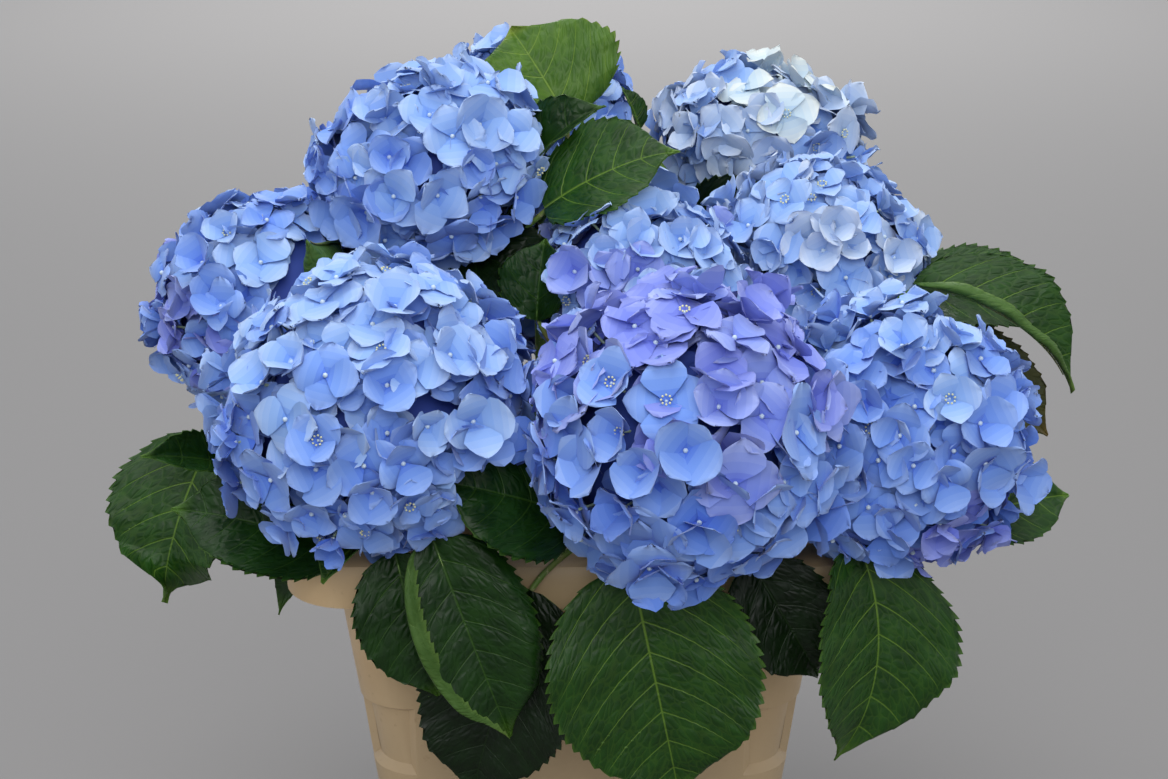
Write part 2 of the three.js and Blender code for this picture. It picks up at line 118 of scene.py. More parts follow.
# leaves deep inside the bunch; their "dark" tint is painted shade
INNER_LEAVES = [
    ("left_top", (-70, 34, 462), (-14, 2, 440), 62, (0.0, -0.75, 0.65), 0.06, 0.2, 0.3, "dark"),
    ("back_top", (-40, 100, 470), (-74, 84, 398), 92, (0.0, -1, 0.3), 0.06, 0.2, 0.3, "dark"),
    ("right_back", (66, 112, 446), (126, 96, 478), 60, (0.0, -0.9, 0.4), 0.06, 0.2, 0.3, "dark"),
]
print(len(CANES), "canes and", len(LEAVES), "leaves with a row of their own")

# %% [markdown]
# ## Meshes from arrays
#
# A bunch like this is thousands of small surfaces. Each could be a small object of its own, but
# that would be slow. Each kind is worked out once as an array of points and faces instead, and
# then copied by arithmetic, so a whole head of florets is one mesh. Most of these arrays are
# grids: rows of points joined into quads. A tube or a ball is a grid that is closed round, with a
# lid on each end.

# %% Grids and lids
def unit(v):
    """Vectors made one long."""
    v = np.asarray(v, float)
    return v / np.linalg.norm(v, axis=-1, keepdims=True)


def grid_faces(rows, columns, closed=False):
    """Quads of a grid of points, row by row; closed grids join the last column to the first."""
    r = np.arange(rows - 1)[:, None]
    c = np.arange(columns if closed else columns - 1)[None, :]
    a = r * columns + c
    b = r * columns + (c + 1) % columns
    return np.stack([a, b, b + columns, a + columns], -1).reshape(-1, 4)


def lid(columns, first, turned):
    """Quads that close a ring with an even number of points, numbered from first."""
    k = np.arange(1, columns - 1, 2)
    quads = np.stack([0 * k, k, k + 1, k + 2], -1) + first
    return quads[:, ::-1] if turned else quads


def closed_grid(rows, columns):
    """Quads of a grid closed round and at both ends, as on a tube or a ball."""
    return np.concatenate([grid_faces(rows, columns, closed=True), lid(columns, 0, True),
                           lid(columns, (rows - 1) * columns, False)])


print("a closed grid of 3 rows of 4 points has", len(closed_grid(3, 4)), "faces")

# %% [markdown]
# ### Gathering arrays into one mesh
#
# `Mesh` gathers arrays of points and faces, each with a material number and, where a pattern
# needs them, UVs and two attributes: how far along a leaf a point stands, and how near its edge.
# At the end it fills a Blender mesh with all of them at once, which is much faster than adding
# faces one by one.

# %% The Mesh class
class Mesh:
    """Points, four-sided faces, a material number a face and UVs a corner, joined bit by bit."""

    def __init__(self):
        self.points, self.faces, self.slots, self.uvs, self.count = [], [], [], [], 0
        self.along, self.rim = [], []

    def add(self, points, faces, slots=0, uvs=None, along=0.0, rim=0.0):
        points = np.asarray(points, float).reshape(-1, 3)
        self.points.append(points)
        self.along.append(np.broadcast_to(along, len(points)))
        self.rim.append(np.broadcast_to(rim, len(points)))
        self.faces.append(np.asarray(faces) + self.count)
        self.slots.append(np.broadcast_to(slots, len(faces)))
        self.uvs.append(np.zeros((len(faces) * 4, 2)) if uvs is None else uvs)
        self.count += len(points)

    def build(self, name, materials, slot):
        """Makes the object, in metres, and lets it ride on the only body."""
        points = np.concatenate(self.points) * MM
        faces = np.concatenate(self.faces)
        mesh = bpy.data.meshes.new(name)
        mesh.vertices.add(len(points))
        mesh.vertices.foreach_set("co", points.ravel())
        mesh.loops.add(faces.size)
        mesh.loops.foreach_set("vertex_index", faces.ravel())
        mesh.polygons.add(len(faces))
        mesh.polygons.foreach_set("loop_start", np.arange(0, faces.size, 4))
        used, numbers = np.unique(np.concatenate(self.slots), return_inverse=True)
        mesh.polygons.foreach_set("material_index", numbers)
        mesh.polygons.foreach_set("use_smooth", np.ones(len(faces), bool))
        layer = mesh.uv_layers.new(name="growth")
        layer.data.foreach_set("uv", np.concatenate(self.uvs).ravel())
        for label, values in (("along", self.along), ("rim", self.rim)):
            place = mesh.attributes.new(label, "FLOAT", "POINT")
            place.data.foreach_set("value", np.concatenate(values).astype(np.float32))
        mesh.update(calc_edges=True)
        mesh.validate()
        for number in used:
            mesh.materials.append(materials[number])
        piece = bpy.data.objects.new(name, mesh)
        bpy.context.scene.collection.objects.link(piece)
        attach(piece, "root")
        return piece


print("a mesh gathers", ", ".join(vars(Mesh())))

# %% Tubes
def tube(path, radii, sides, wobble=None):
    """Points and faces of a round tube along a path of points."""
    path = np.asarray(path, float)
    ahead = unit(np.gradient(path, axis=0))
    side = unit(np.cross(np.array([1.0, 0.013, 0.0]), ahead))
    up = np.cross(ahead, side)
    turn = np.linspace(0, 2 * np.pi, sides, endpoint=False)
    radii = np.broadcast_to(radii, len(path))[:, None, None]
    ring = np.cos(turn)[None, :, None] * side[:, None] + np.sin(turn)[None, :, None] * up[:, None]
    if wobble is not None:
        radii = radii * wobble[:, :, None]
    return path[:, None] + radii * ring, closed_grid(len(path), sides)


sample = tube([(0, 0, 0), (0, 0, 10), (0, 0, 20)], 2.0, 8)
print("a tube of three rings has", len(sample[1]), "faces")

# %% [markdown]
# ## Materials
#
# Plant surfaces are thin and soft: a leaf has a quiet gloss over deep green, with veins that are
# paler than the blade, and a sepal is matt. Nodes could be added one by one, but the same few
# steps come up again and again: a number worked out from another, two colours mixed, a value
# turned into a mask. Short helpers for these keep each material readable.

# %% Material helpers
def group_with(name, inputs, outputs):
    """A new shader group, and the two nodes inside it that carry its inputs and outputs."""
    tree = bpy.data.node_groups.new(name, "ShaderNodeTree")
    for label, kind, default in inputs:
        socket = tree.interface.new_socket(name=label, in_out="INPUT", socket_type=kind)
        if default is not None:
            socket.default_value = default
    for label, kind in outputs:
        tree.interface.new_socket(name=label, in_out="OUTPUT", socket_type=kind)
    return tree, tree.nodes.new("NodeGroupInput"), tree.nodes.new("NodeGroupOutput")


def node(tree, kind, settings=None, **links):
    """Adds a node. settings are its properties; links are input names to a socket or a value."""
    made = tree.nodes.new(kind)
    for key, value in (settings or {}).items():
        setattr(made, key, value)
    for key, value in links.items():
        label = key.replace("_", " ")
        socket = made.inputs[int(key[1:])] if key[1:].isdigit() else made.inputs[label]
        if isinstance(value, bpy.types.NodeSocket):
            tree.links.new(value, socket)
        else:
            socket.default_value = value
    return made


def maths(tree, operation, a, b=0.0):
    """The result of one sum on two numbers or sockets."""
    return node(tree, "ShaderNodeMath", {"operation": operation}, i0=a, i1=b).outputs[0]


def mixed(tree, factor, a, b):
    """Colour a where the factor is 0, colour b where it is 1."""
    settings = {"data_type": "RGBA"}
    return node(tree, "ShaderNodeMix", settings, i0=factor, i6=a, i7=b).outputs[2]


def ramped(tree, value, low, high):
    """0 below low and 1 above high, smoothly between."""
    made = node(tree, "ShaderNodeMapRange", {"interpolation_type": "SMOOTHSTEP"},
                Value=value, From_Min=low, From_Max=high)
    return made.outputs[0]


print("node helpers: group_with, node, maths, mixed, ramped")

# %% Plain materials
def new_material(name, colour, roughness, **extra):
    """A material with a Principled shader; extra are constants set on its own sockets."""
    material = bpy.data.materials.new(name)
    material.use_nodes = True
    shader = material.node_tree.nodes["Principled BSDF"]
    shader.inputs["Base Color"].default_value = (*colour, 1)
    shader.inputs["Roughness"].default_value = roughness
    for key, value in extra.items():
        shader.inputs[key.replace("_", " ")].default_value = value
    return material, material.node_tree, shader


def linear(*rgb):
    """Display red, green and blue from 0 to 255 as a linear colour."""
    return tuple(((c / 255 + 0.055) / 1.055) ** 2.4 if c > 10 else c / 3295 for c in rgb)


print("middle grey as a linear colour:", [round(c, 3) for c in linear(128, 128, 128)])

# %% [markdown]
# ### Leaf
#
# A hydrangea leaf looks quilted: side veins leave the midrib, a net of fine veins divides the
# blade between them, and the blade bulges up inside the net. Veins could be painted on an image,
# but a pattern that is worked out suits every leaf. Each blade carries growth coordinates as its
# UV map: side veins are at whole numbers of the first, and the second runs from edge to edge.
# One node group draws the veins from them, and each kind of leaf uses it with its own colours.

# %% Leaf veins
VEINS = [  # name, kind and default of each input
    ("Growth", "NodeSocketVector", None),
    ("Along", "NodeSocketFloat", 0.5),
    ("Rim", "NodeSocketFloat", 0.0),
    ("Blade", "NodeSocketColor", (0.03, 0.1, 0.02, 1)),
    ("Shade", "NodeSocketColor", (0.01, 0.05, 0.01, 1)),
    ("Vein", "NodeSocketColor", (0.2, 0.35, 0.08, 1)),
    ("Tip", "NodeSocketColor", (0.2, 0.3, 0.06, 1)),
    ("Contrast", "NodeSocketFloat", 0.6),
]
leaf_tree, given, result = group_with(
    "Leaf veins", VEINS, [("Color", "NodeSocketColor"), ("Height", "NodeSocketFloat")])
split = node(leaf_tree, "ShaderNodeSeparateXYZ", i0=given.outputs["Growth"])
phase, across = split.outputs[0], maths(leaf_tree, "ABSOLUTE", split.outputs[1])
along, rim = given.outputs["Along"], given.outputs["Rim"]
nearest = maths(leaf_tree, "PINGPONG", phase, 0.5)
narrow = maths(leaf_tree, "SUBTRACT", 0.046, maths(leaf_tree, "MULTIPLY", rim, 0.026))
side_vein = maths(leaf_tree, "SUBTRACT", 1.0, ramped(leaf_tree, nearest, 0.004, narrow))
side_vein = maths(leaf_tree, "MULTIPLY", side_vein,
                  maths(leaf_tree, "SUBTRACT", 1.0, ramped(leaf_tree, rim, 0.7, 0.97)))
thin = maths(leaf_tree, "SUBTRACT", 0.075, maths(leaf_tree, "MULTIPLY", along, 0.045))
midrib = maths(leaf_tree, "SUBTRACT", 1.0, ramped(leaf_tree, across, 0.01, thin))
fading = maths(leaf_tree, "SUBTRACT", 1.0, maths(leaf_tree, "MULTIPLY", along, 0.45))
scaled = node(leaf_tree, "ShaderNodeVectorMath", {"operation": "MULTIPLY"},
              i0=given.outputs["Growth"], i1=(3.2, 3.2, 0.0))
bend = node(leaf_tree, "ShaderNodeTexNoise", Vector=scaled.outputs[0], Scale=0.8, Detail=1.0)
bent = node(leaf_tree, "ShaderNodeVectorMath", {"operation": "MULTIPLY_ADD"},
            i0=bend.outputs["Color"], i1=(0.6, 0.6, 0.0), i2=scaled.outputs[0])
cells = node(leaf_tree, "ShaderNodeTexVoronoi", {"feature": "DISTANCE_TO_EDGE"},
             Vector=bent.outputs[0], Scale=1.0)
net = maths(leaf_tree, "SUBTRACT", 1.0, ramped(leaf_tree, cells.outputs[0], 0.0, 0.12))
strong = maths(leaf_tree, "MULTIPLY", maths(leaf_tree, "MAXIMUM", side_vein, midrib), fading)
veins = maths(leaf_tree, "MAXIMUM", strong, maths(leaf_tree, "MULTIPLY", net, 0.1))
patches = node(leaf_tree, "ShaderNodeTexNoise", Vector=scaled.outputs[0], Scale=0.35, Detail=2.0)
blade = mixed(leaf_tree, ramped(leaf_tree, patches.outputs[0], 0.35, 0.7),
              given.outputs["Shade"], given.outputs["Blade"])
edge = maths(leaf_tree, "MULTIPLY", ramped(leaf_tree, rim, 0.93, 1.0), 0.4)
tip = maths(leaf_tree, "MAXIMUM", ramped(leaf_tree, along, 0.86, 1.02), edge)
blade = mixed(leaf_tree, tip, blade, given.outputs["Tip"])
coloured = mixed(leaf_tree, maths(leaf_tree, "MULTIPLY", veins, given.outputs["Contrast"]), blade,
                 given.outputs["Vein"])
leaf_tree.links.new(coloured, result.inputs["Color"])
bulge = ramped(leaf_tree, cells.outputs[0], 0.0, 0.35)
leaf_tree.links.new(maths(leaf_tree, "SUBTRACT", bulge, strong), result.inputs["Height"])

print("vein group:", len(leaf_tree.nodes), "nodes")

# %% Leaf colours
LEAF_TINTS = {  # blade, shade, vein, tip and how strongly the veins show
    "light": ((70, 104, 25), (52, 87, 18), (134, 160, 66), (116, 134, 42), 0.55),
    "mid": ((32, 68, 18), (22, 53, 12), (106, 138, 46), (76, 110, 34), 0.7),
    "deep": ((23, 55, 12), (15, 42, 9), (68, 103, 33), (68, 102, 30), 0.4),
    # "dark" is leaf green darkened as painted shade, for leaves deep between the heads and low
    # under them
    "dark": ((13, 33, 9), (9, 24, 6), (36, 62, 20), (32, 58, 18), 0.3),
    "brown": ((62, 62, 24), (44, 50, 18), (96, 96, 44), (92, 74, 32), 0.5),
    "under": ((74, 106, 46), (60, 94, 36), (118, 144, 78), (88, 116, 50), 0.8),
    "under_light": ((70, 100, 44), (58, 88, 34), (106, 134, 68), (98, 124, 54), 0.7),
}
leaf_materials = {}
for tint, (blade_colour, shade, vein, tip_colour, contrast) in LEAF_TINTS.items():
    under = tint.startswith("under")
    material, tree, shader = new_material(f"leaf {tint}", linear(*blade_colour),
                                          0.6 if under else 0.42, Specular_IOR_Level=0.22)
    growth = node(tree, "ShaderNodeUVMap", {"uv_map": "growth"})
    along = node(tree, "ShaderNodeAttribute", {"attribute_name": "along"})
    rim = node(tree, "ShaderNodeAttribute", {"attribute_name": "rim"})
    pattern = node(tree, "ShaderNodeGroup", {"node_tree": leaf_tree}, Growth=growth.outputs[0],
                   Along=along.outputs["Fac"], Rim=rim.outputs["Fac"],
                   Blade=(*linear(*blade_colour), 1), Shade=(*linear(*shade), 1),
                   Vein=(*linear(*vein), 1), Tip=(*linear(*tip_colour), 1), Contrast=contrast)
    relief = node(tree, "ShaderNodeBump", Strength=0.45, Distance=0.0008,
                  Height=pattern.outputs["Height"])
    tree.links.new(pattern.outputs["Color"], shader.inputs["Base Color"])
    tree.links.new(relief.outputs[0], shader.inputs["Normal"])
    leaf_materials[tint] = material
print("leaf tints:", ", ".join(leaf_materials))

# %% [markdown]
# ### Bark
#
# A hydrangea cane is green and half woody: dull bark with brownish patches and pale flecks, the
# pores through which it breathes. Two noises of different size give the patches and the flecks,
# and the flecks also stand up a little from the bark.

# %% Bark
cane_material, tree, shader = new_material("cane", linear(110, 140, 62), 0.55)
where = node(tree, "ShaderNodeTexCoord").outputs["Object"]
flecks = node(tree, "ShaderNodeTexNoise", Vector=where, Scale=420.0, Detail=2.0)
patches = node(tree, "ShaderNodeTexNoise", Vector=where, Scale=38.0, Detail=3.0)
bark = mixed(tree, ramped(tree, patches.outputs[0], 0.45, 0.7), (*linear(104, 138, 58), 1),
             (*linear(122, 118, 66), 1))
bark = mixed(tree, ramped(tree, flecks.outputs[0], 0.6, 0.7), bark, (*linear(168, 168, 120), 1))
tree.links.new(bark, shader.inputs["Base Color"])
relief = node(tree, "ShaderNodeBump", Strength=0.3, Distance=0.0004, Height=flecks.outputs[0])
tree.links.new(relief.outputs[0], shader.inputs["Normal"])

print("bark:", len(tree.nodes), "nodes")

# %% [markdown]
# ### Bucket plastic
#
# The bucket is satin plastic that has been used. New plastic would be one even colour, which
# looks false, so a slow noise clouds it, a fine one leaves specks of dirt, and scuffs drawn out
# upwards change the gloss. The wall is also painted a little darker towards the foot: painted
# shade, where the light from above falls off.

# %% Bucket plastic
plastic, tree, shader = new_material("bucket plastic", linear(200, 168, 124), 0.42)
where = node(tree, "ShaderNodeTexCoord").outputs["Object"]
clouds = node(tree, "ShaderNodeTexNoise", Vector=where, Scale=14.0, Detail=5.0, Roughness=0.6)
dirt = node(tree, "ShaderNodeTexNoise", Vector=where, Scale=160.0, Detail=4.0, Roughness=0.7)
stretch = node(tree, "ShaderNodeMapping", Vector=where, Scale=(60.0, 60.0, 4.0))
scuffs = node(tree, "ShaderNodeTexNoise", Vector=stretch.outputs[0], Scale=6.0, Detail=4.0)
body = mixed(tree, ramped(tree, clouds.outputs[0], 0.35, 0.7), (*linear(201, 171, 130), 1),
             (*linear(212, 184, 144), 1))
height = node(tree, "ShaderNodeSeparateXYZ", i0=where).outputs[2]
# painted shade: the wall is mixed darker towards the foot, where less light from above reaches it
body = mixed(tree, ramped(tree, height, 0.16, 0.26), (*linear(172, 149, 116), 1), body)
body = mixed(tree, maths(tree, "MULTIPLY", ramped(tree, dirt.outputs[0], 0.62, 0.72), 0.35), body,
             (*linear(150, 124, 88), 1))
tree.links.new(body, shader.inputs["Base Color"])
gloss = node(tree, "ShaderNodeMapRange", Value=scuffs.outputs[0], To_Min=0.34, To_Max=0.56)
tree.links.new(gloss.outputs[0], shader.inputs["Roughness"])
relief = node(tree, "ShaderNodeBump", Strength=0.12, Distance=0.0004, Height=dirt.outputs[0])
tree.links.new(relief.outputs[0], shader.inputs["Normal"])

print("bucket plastic:", len(tree.nodes), "nodes")

# %% [markdown]
# ### Sepals
#
# A sepal is deepest in colour at its throat and palest at its margin. A pattern on each of
# thousands of sepals would be slow, so each tint is six plain colours from throat to margin, and
# a sepal's faces take them by their place. A head's colour comes from many florets of slightly
# different tints. A little sheen gives the soft bloom that petals have.

# %% Sepal colours
SEPAL_TINTS = {  # throat, blade and margin
    "deep": ((66, 100, 200), (88, 126, 210), (112, 144, 217)),
    "blue": ((82, 120, 214), (110, 147, 221), (138, 167, 226)),
    "sky": ((104, 145, 220), (136, 171, 227), (164, 189, 231)),
    "lavender": ((98, 116, 208), (126, 145, 219), (152, 166, 224)),
    "violet": ((92, 106, 203), (114, 129, 214), (140, 152, 221)),
    "pale": ((140, 170, 218), (168, 190, 223), (194, 207, 228)),
    "cream": ((152, 182, 212), (186, 205, 218), (212, 219, 218)),
}
ZONES = [0, 0.5, 1, 1.35, 1.7, 2]  # from the throat, 0, over the blade, 1, to the margin, 2
sepal_materials, sepal_slot = [], {}
for tint, colours in SEPAL_TINTS.items():
    sepal_slot[tint] = len(sepal_materials)
    for number, zone in enumerate(ZONES):
        colour = [np.interp(zone, [0, 1, 2], values) for values in zip(*colours)]
        made = new_material(f"sepal {tint} {number}", linear(*colour), 0.65,
                            Specular_IOR_Level=0.2, Sheen_Weight=0.2, Sheen_Roughness=0.5)
        sepal_materials.append(made[0])
eye_material = new_material("floret eye", linear(196, 214, 226), 0.5)[0]
stamen_material = new_material("floret stamens", linear(226, 224, 176), 0.6)[0]
# a dark blue sheet inside each head: painted shade standing in for the shadow between its florets
inside_shade_material = new_material("bloom inside", linear(50, 74, 158), 0.8)[0]
stalk_material = new_material("floret stalk", linear(150, 172, 150), 0.6)[0]
print(len(sepal_materials), "sepal colours")

# %% [markdown]
# ## The bucket
#
# The bucket is injection moulded: thin walls that taper so that buckets stack, a rim turned down
# into a skirt, and a recess in each corner that ends in a shoulder. It could be swept over levels
# in code, but it is shaped here as by hand: a cube is tapered, its upright edges are bevelled into
# round corners, and it loses its lid. That leaves a thin sheet, open at the top.

# %% Bucket sheet
def choose(kind, test):
    """In edit mode, selects the edges or faces whose middle, in millimetres, passes a test."""
    mesh = bmesh.from_edit_mesh(bpy.context.object.data)
    bpy.ops.mesh.select_mode(type={"edges": "EDGE", "faces": "FACE"}[kind])
    bpy.ops.mesh.select_all(action="DESELECT")
    for item in getattr(mesh, kind):
        corners = [v.co / MM for v in item.verts]
        item.select_set(bool(test(sum(corners, Vector()) / len(corners))))
    bmesh.update_edit_mesh(bpy.context.object.data)


def half_widths(z):
    """Half the bucket's width and depth at a height, outside."""
    foot, top = np.array(BUCKET["foot"]), np.array(BUCKET["top"])
    return foot + (top - foot) * z / (BUCKET["height"] - BUCKET["drop"])


SHEET_TOP = BUCKET["height"] - BUCKET["wall"]
FOOT_ROUND = 6  # how far the edge of the foot is rounded, in mm
foot, top = half_widths(0), half_widths(SHEET_TOP)
bpy.ops.object.select_all(action="DESELECT")
bpy.ops.mesh.primitive_cube_add(size=1, location=(0, 0, SHEET_TOP * MM / 2))
bucket = bpy.context.object
bucket.name = "bucket_shell"
bucket.scale = (2 * foot[0] * MM, 2 * foot[1] * MM, SHEET_TOP * MM)
bpy.ops.object.transform_apply(location=True, rotation=True, scale=True)
bpy.ops.object.mode_set(mode="EDIT")
choose("faces", lambda p: p.z > SHEET_TOP - 1)
bpy.ops.transform.resize(value=(top[0] / foot[0], top[1] / foot[1], 1))
bpy.ops.mesh.delete(type="ONLY_FACE")
choose("edges", lambda p: 1 < p.z < SHEET_TOP - 1)
bpy.ops.mesh.bevel(offset=BUCKET["corner"] * MM, segments=10, affect="EDGES")
choose("edges", lambda p: p.z < 1)
bpy.ops.mesh.bevel(offset=FOOT_ROUND * MM, segments=4, affect="EDGES")
print("tapered from", np.round(top), "to", np.round(foot), "mm, half width and depth")

# %% [markdown]
# ### Recesses and rim
#
# Straight cuts mark out the recesses on the sheet, so that the corner's faces between them can
# be inset and pushed in. The rim is the sheet's upper edge, extruded out, round and down. Solidify
# then gives the sheet its wall towards the inside, and Bevel takes the sharpness off every edge,
# as a mould does.

# %% Recesses and rim
SLOPE, SOFT_EDGE = 4, 1.2  # the slope round a recess and the rounding of all edges, in mm
CLOSE = 0.1  # how exactly faces and edges are found by their place, in mm
middle = half_widths(sum(BUCKET["niche"]) / 2) - BUCKET["reach"]
cuts = [((0, 0, z), (0, 0, 1)) for z in BUCKET["niche"]]
cuts += [((side * middle[0], 0, 0), (1, 0, 0)) for side in (-1, 1)]
cuts += [((0, side * middle[1], 0), (0, 1, 0)) for side in (-1, 1)]
for place, way in cuts:
    bpy.ops.mesh.select_all(action="SELECT")
    bpy.ops.mesh.bisect(plane_co=np.array(place) * MM, plane_no=way)
low, high = BUCKET["niche"]
choose("faces", lambda p: low - CLOSE < p.z < high + CLOSE and abs(p.x) > middle[0] - CLOSE
       and abs(p.y) > middle[1] - CLOSE)
bpy.ops.mesh.inset(thickness=SLOPE * MM, depth=-BUCKET["depth"] * MM, use_even_offset=True)

edge_of_rim = np.array(BUCKET["rim"]) - BUCKET["wall"]
choose("edges", lambda p: p.z > SHEET_TOP - CLOSE)
width = top
rim_steps = (  # half widths reached and fall: out to the edge, round it and down
    (edge_of_rim - 5, 0),
    (edge_of_rim - 1.5, 1.5),
    (edge_of_rim, 3.5),
    (edge_of_rim, BUCKET["drop"] - 8),
)
for reach, fall in rim_steps:
    bpy.ops.mesh.extrude_region_move(TRANSFORM_OT_translate={"value": (0, 0, -fall * MM)})
    bpy.ops.transform.resize(value=(reach[0] / width[0], reach[1] / width[1], 1))
    width = reach
bpy.ops.object.mode_set(mode="OBJECT")
wall = bucket.modifiers.new("wall", "SOLIDIFY")
wall.thickness, wall.offset = BUCKET["wall"] * MM, -1
wall.use_even_offset = True
soft = bucket.modifiers.new("soft edges", "BEVEL")
soft.width, soft.segments = SOFT_EDGE * MM, 3
soft.limit_method, soft.angle_limit = "ANGLE", 0.6
for modifier in ("wall", "soft edges"):
    bpy.ops.object.modifier_apply(modifier=modifier)
bpy.ops.object.shade_smooth_by_angle(angle=0.7)
bucket.data.materials.append(plastic)
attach(bucket, "root")
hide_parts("bucket")
corners = np.array([v.co for v in bucket.data.vertices]) / MM
print("bucket:", len(bucket.data.polygons), "faces,", np.round(np.ptp(corners, 0), 1), "mm")

# %% [markdown]
# ## Canes
#
# Each cane rises from the bucket's floor, leans out through its mouth and ends at its bloom's
# neck. A bent curve object with a bevel could be used, but the leaves and heads need to know
# where the cane is at each length, so its course is worked out here: a smooth curve through those
# three points.

# %% The course of a cane
NECK = 0.78  # how far under a bloom's middle its neck is, as a part of its half height
MOUTH, MOUTH_HEIGHT = np.array([123, 72]), 327.0  # the space in which canes pass the rim
FLOOR, CANE_RADIUS = 3.3, 4.6


def catmull_rom(points, count=240):
    """A centripetal curve through three points, as points evenly spaced along it."""
    p = np.array([2 * points[0] - points[1], *points, 2 * points[-1] - points[-2]])
    out = []
    for i in range(1, len(p) - 2):
        x0, x1, x2, x3 = p[i - 1:i + 3]
        d = [np.sqrt(np.linalg.norm(b - a)) for a, b in ((x0, x1), (x1, x2), (x2, x3))]
        t1 = ((x1 - x0) / d[0] - (x2 - x0) / (d[0] + d[1]) + (x2 - x1) / d[1]) * d[1]
        t2 = ((x2 - x1) / d[1] - (x3 - x1) / (d[1] + d[2]) + (x3 - x2) / d[2]) * d[1]
        s = np.linspace(0, 1, count)[:, None]
        out.append(x1 + t1 * s + (-3 * x1 + 3 * x2 - 2 * t1 - t2) * s**2
                   + (2 * x1 - 2 * x2 + t1 + t2) * s**3)
    return np.concatenate([out[0], out[1][1:]])


def at_length(path, parts):
    """Points of a path at parts of its length."""
    step = np.linalg.norm(np.diff(path, axis=0), axis=1)
    run = np.concatenate([[0], np.cumsum(step)])
    run /= run[-1]
    return np.stack([np.interp(parts, run, path[:, k]) for k in range(3)], -1)


class Cane:
    """A cane's bloom, its neck and its course from the bucket's floor."""

    def __init__(self, name, centre, across, along, foot):
        self.name, self.across, self.along = name, across, along
        self.centre = np.array(centre, float)
        self.axis = unit(self.centre - FOCUS)
        self.neck = self.centre - self.axis * NECK * along
        mouth = np.array([*np.clip(self.neck[:2] * 0.85, -MOUTH, MOUTH), MOUTH_HEIGHT])
        stand = np.array([*foot, FLOOR])
        lean = mouth - stand
        stand[2] += CANE_RADIUS * np.hypot(*lean[:2]) / np.linalg.norm(lean)
        self.path = catmull_rom([stand, mouth, self.neck])
        self.length = np.linalg.norm(np.diff(self.path, axis=0), axis=1).sum()
        self.end = unit(self.path[-1] - self.path[-2])


canes = {name: Cane(name, *row[:4]) for name, row in CANES.items()}
print("cane lengths in mm:", [round(cane.length) for cane in canes.values()])

# %% [markdown]
# ### Stems and shoots
#
# Hydrangea canes swell at each node, where a pair of leaves stood, with a fine ring of scars
# round the swelling. Both are a change of the tube's radius. The skin is a little uneven all
# along. The lower stretch of each cane is its stem, and the upper one, with the leaf stalks, its
# shoot.

# %% Stems
SHOOT_START = 0.72  # where the stem ends and the shoot starts, as a part of the cane's length
SWELLING, SCAR = (1.3, 3.2), (0.25, 0.9)  # how high and how long, in mm


def limb_piece(mesh, cane, start, stop, r0, r1, nodes, seed):
    """One stretch of a cane with swollen nodes and an uneven skin."""
    rng = np.random.default_rng(seed)
    parts = np.linspace(start, stop, 90)
    path = at_length(cane.path, parts)
    radii = np.linspace(r0, r1, len(parts))
    for place in nodes:
        away = (parts - place) * cane.length
        radii = (radii + SWELLING[0] * np.exp(-(away / SWELLING[1]) ** 2)
                 - SCAR[0] * np.exp(-(away / SCAR[1]) ** 2))
    wobble = 1 + 0.03 * rng.standard_normal((len(parts), 12)).cumsum(0) / 6
    points, faces = tube(path, radii, 12, np.clip(wobble, 0.93, 1.06))
    mesh.add(points, faces)


stems, stalks = Mesh(), Mesh()
for number, cane in enumerate(canes.values()):
    limb_piece(stems, cane, 0, SHOOT_START - 0.3 / cane.length, 4.5, 3.5, [0.3, 0.52, 0.7], number)
    nodes = [1 - 26 / cane.length, 1 - 14 / cane.length]
    limb_piece(stalks, cane, SHOOT_START, 1, 3.5, 3.0, nodes, number + 50)
stem_piece = stems.build("stems", [cane_material], "stem")
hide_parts(*[f"stem_{name}" for name in canes])
print("cane faces:", len(stem_piece.data.polygons))

# %% [markdown]
# ## Leaves
#
# A hydrangea leaf is a broad oval with forward-pointing teeth and a drawn-out tip. One leaf could
# be modelled and copied, but real ones are each wide or narrow, flat or folded. So a blade is a
# grid of points over growth coordinates, from foot to tip and from edge to edge, and a rule says
# where each point goes. This first part is the outline, and the arc in which a half rolls up.

# %% Outline and arc of a leaf
TEETH_EVERY, VEIN_EVERY = 6.2, 17.0  # along the blade, in mm
CURL_FROM = 0.66  # where a margin starts to curl over, from the midrib, 0, to the edge, 1


def smooth(t):
    """From 0 to 1 with a soft start and end."""
    t = np.clip(t, 0, 1)
    return t * t * (3 - 2 * t)


def outline(u):
    """Half the blade's width over its length: broad, then drawn out into a point."""
    rising = np.clip(1 - ((0.44 - u) / 0.44) ** 2, 0, 1) ** 0.4
    falling = np.clip(1 - ((u - 0.44) / 0.56) ** 2, 0, 1) ** 0.85
    return np.where(u < 0.44, rising, falling) * (1 - 0.5 * smooth((u - 0.77) / 0.2))


def profile(v, fold, roll, curl):
    """Across, up and lean for half widths of one: each half is an arc whose margin may curl."""
    fine = np.linspace(0, 1, 81)
    out = []
    for side in (0, 1):
        edge = fold + roll * fine + curl[side] * smooth((fine - CURL_FROM) / 0.2)
        steps = np.diff(fine)
        run = np.concatenate([[0], np.cumsum(np.cos((edge[1:] + edge[:-1]) / 2) * steps)])
        rise = np.concatenate([[0], np.cumsum(np.sin((edge[1:] + edge[:-1]) / 2) * steps)])
        out.append([np.interp(np.abs(v), fine, values) for values in (run, rise, edge)])
    left, right = out
    return (np.where(v < 0, -left[0], right[0]), np.where(v < 0, left[1], right[1]),
            np.where(v < 0, -left[2], right[2]))


near_tip = float(outline(np.array(0.88)))
print("at 0.88 of its length a leaf has", round(near_tip, 2), "of its width")

# %% [markdown]
# ### The rule of a blade
#
# The halves stand at an angle to the midrib and roll like arcs, the midrib lies in a groove, the
# blade bulges between its side veins, and a slow wave runs along the edge. The whole blade arches
# and its tip droops or twists. Each of these is one term, so a leaf's row in the table can make
# more or less of it.

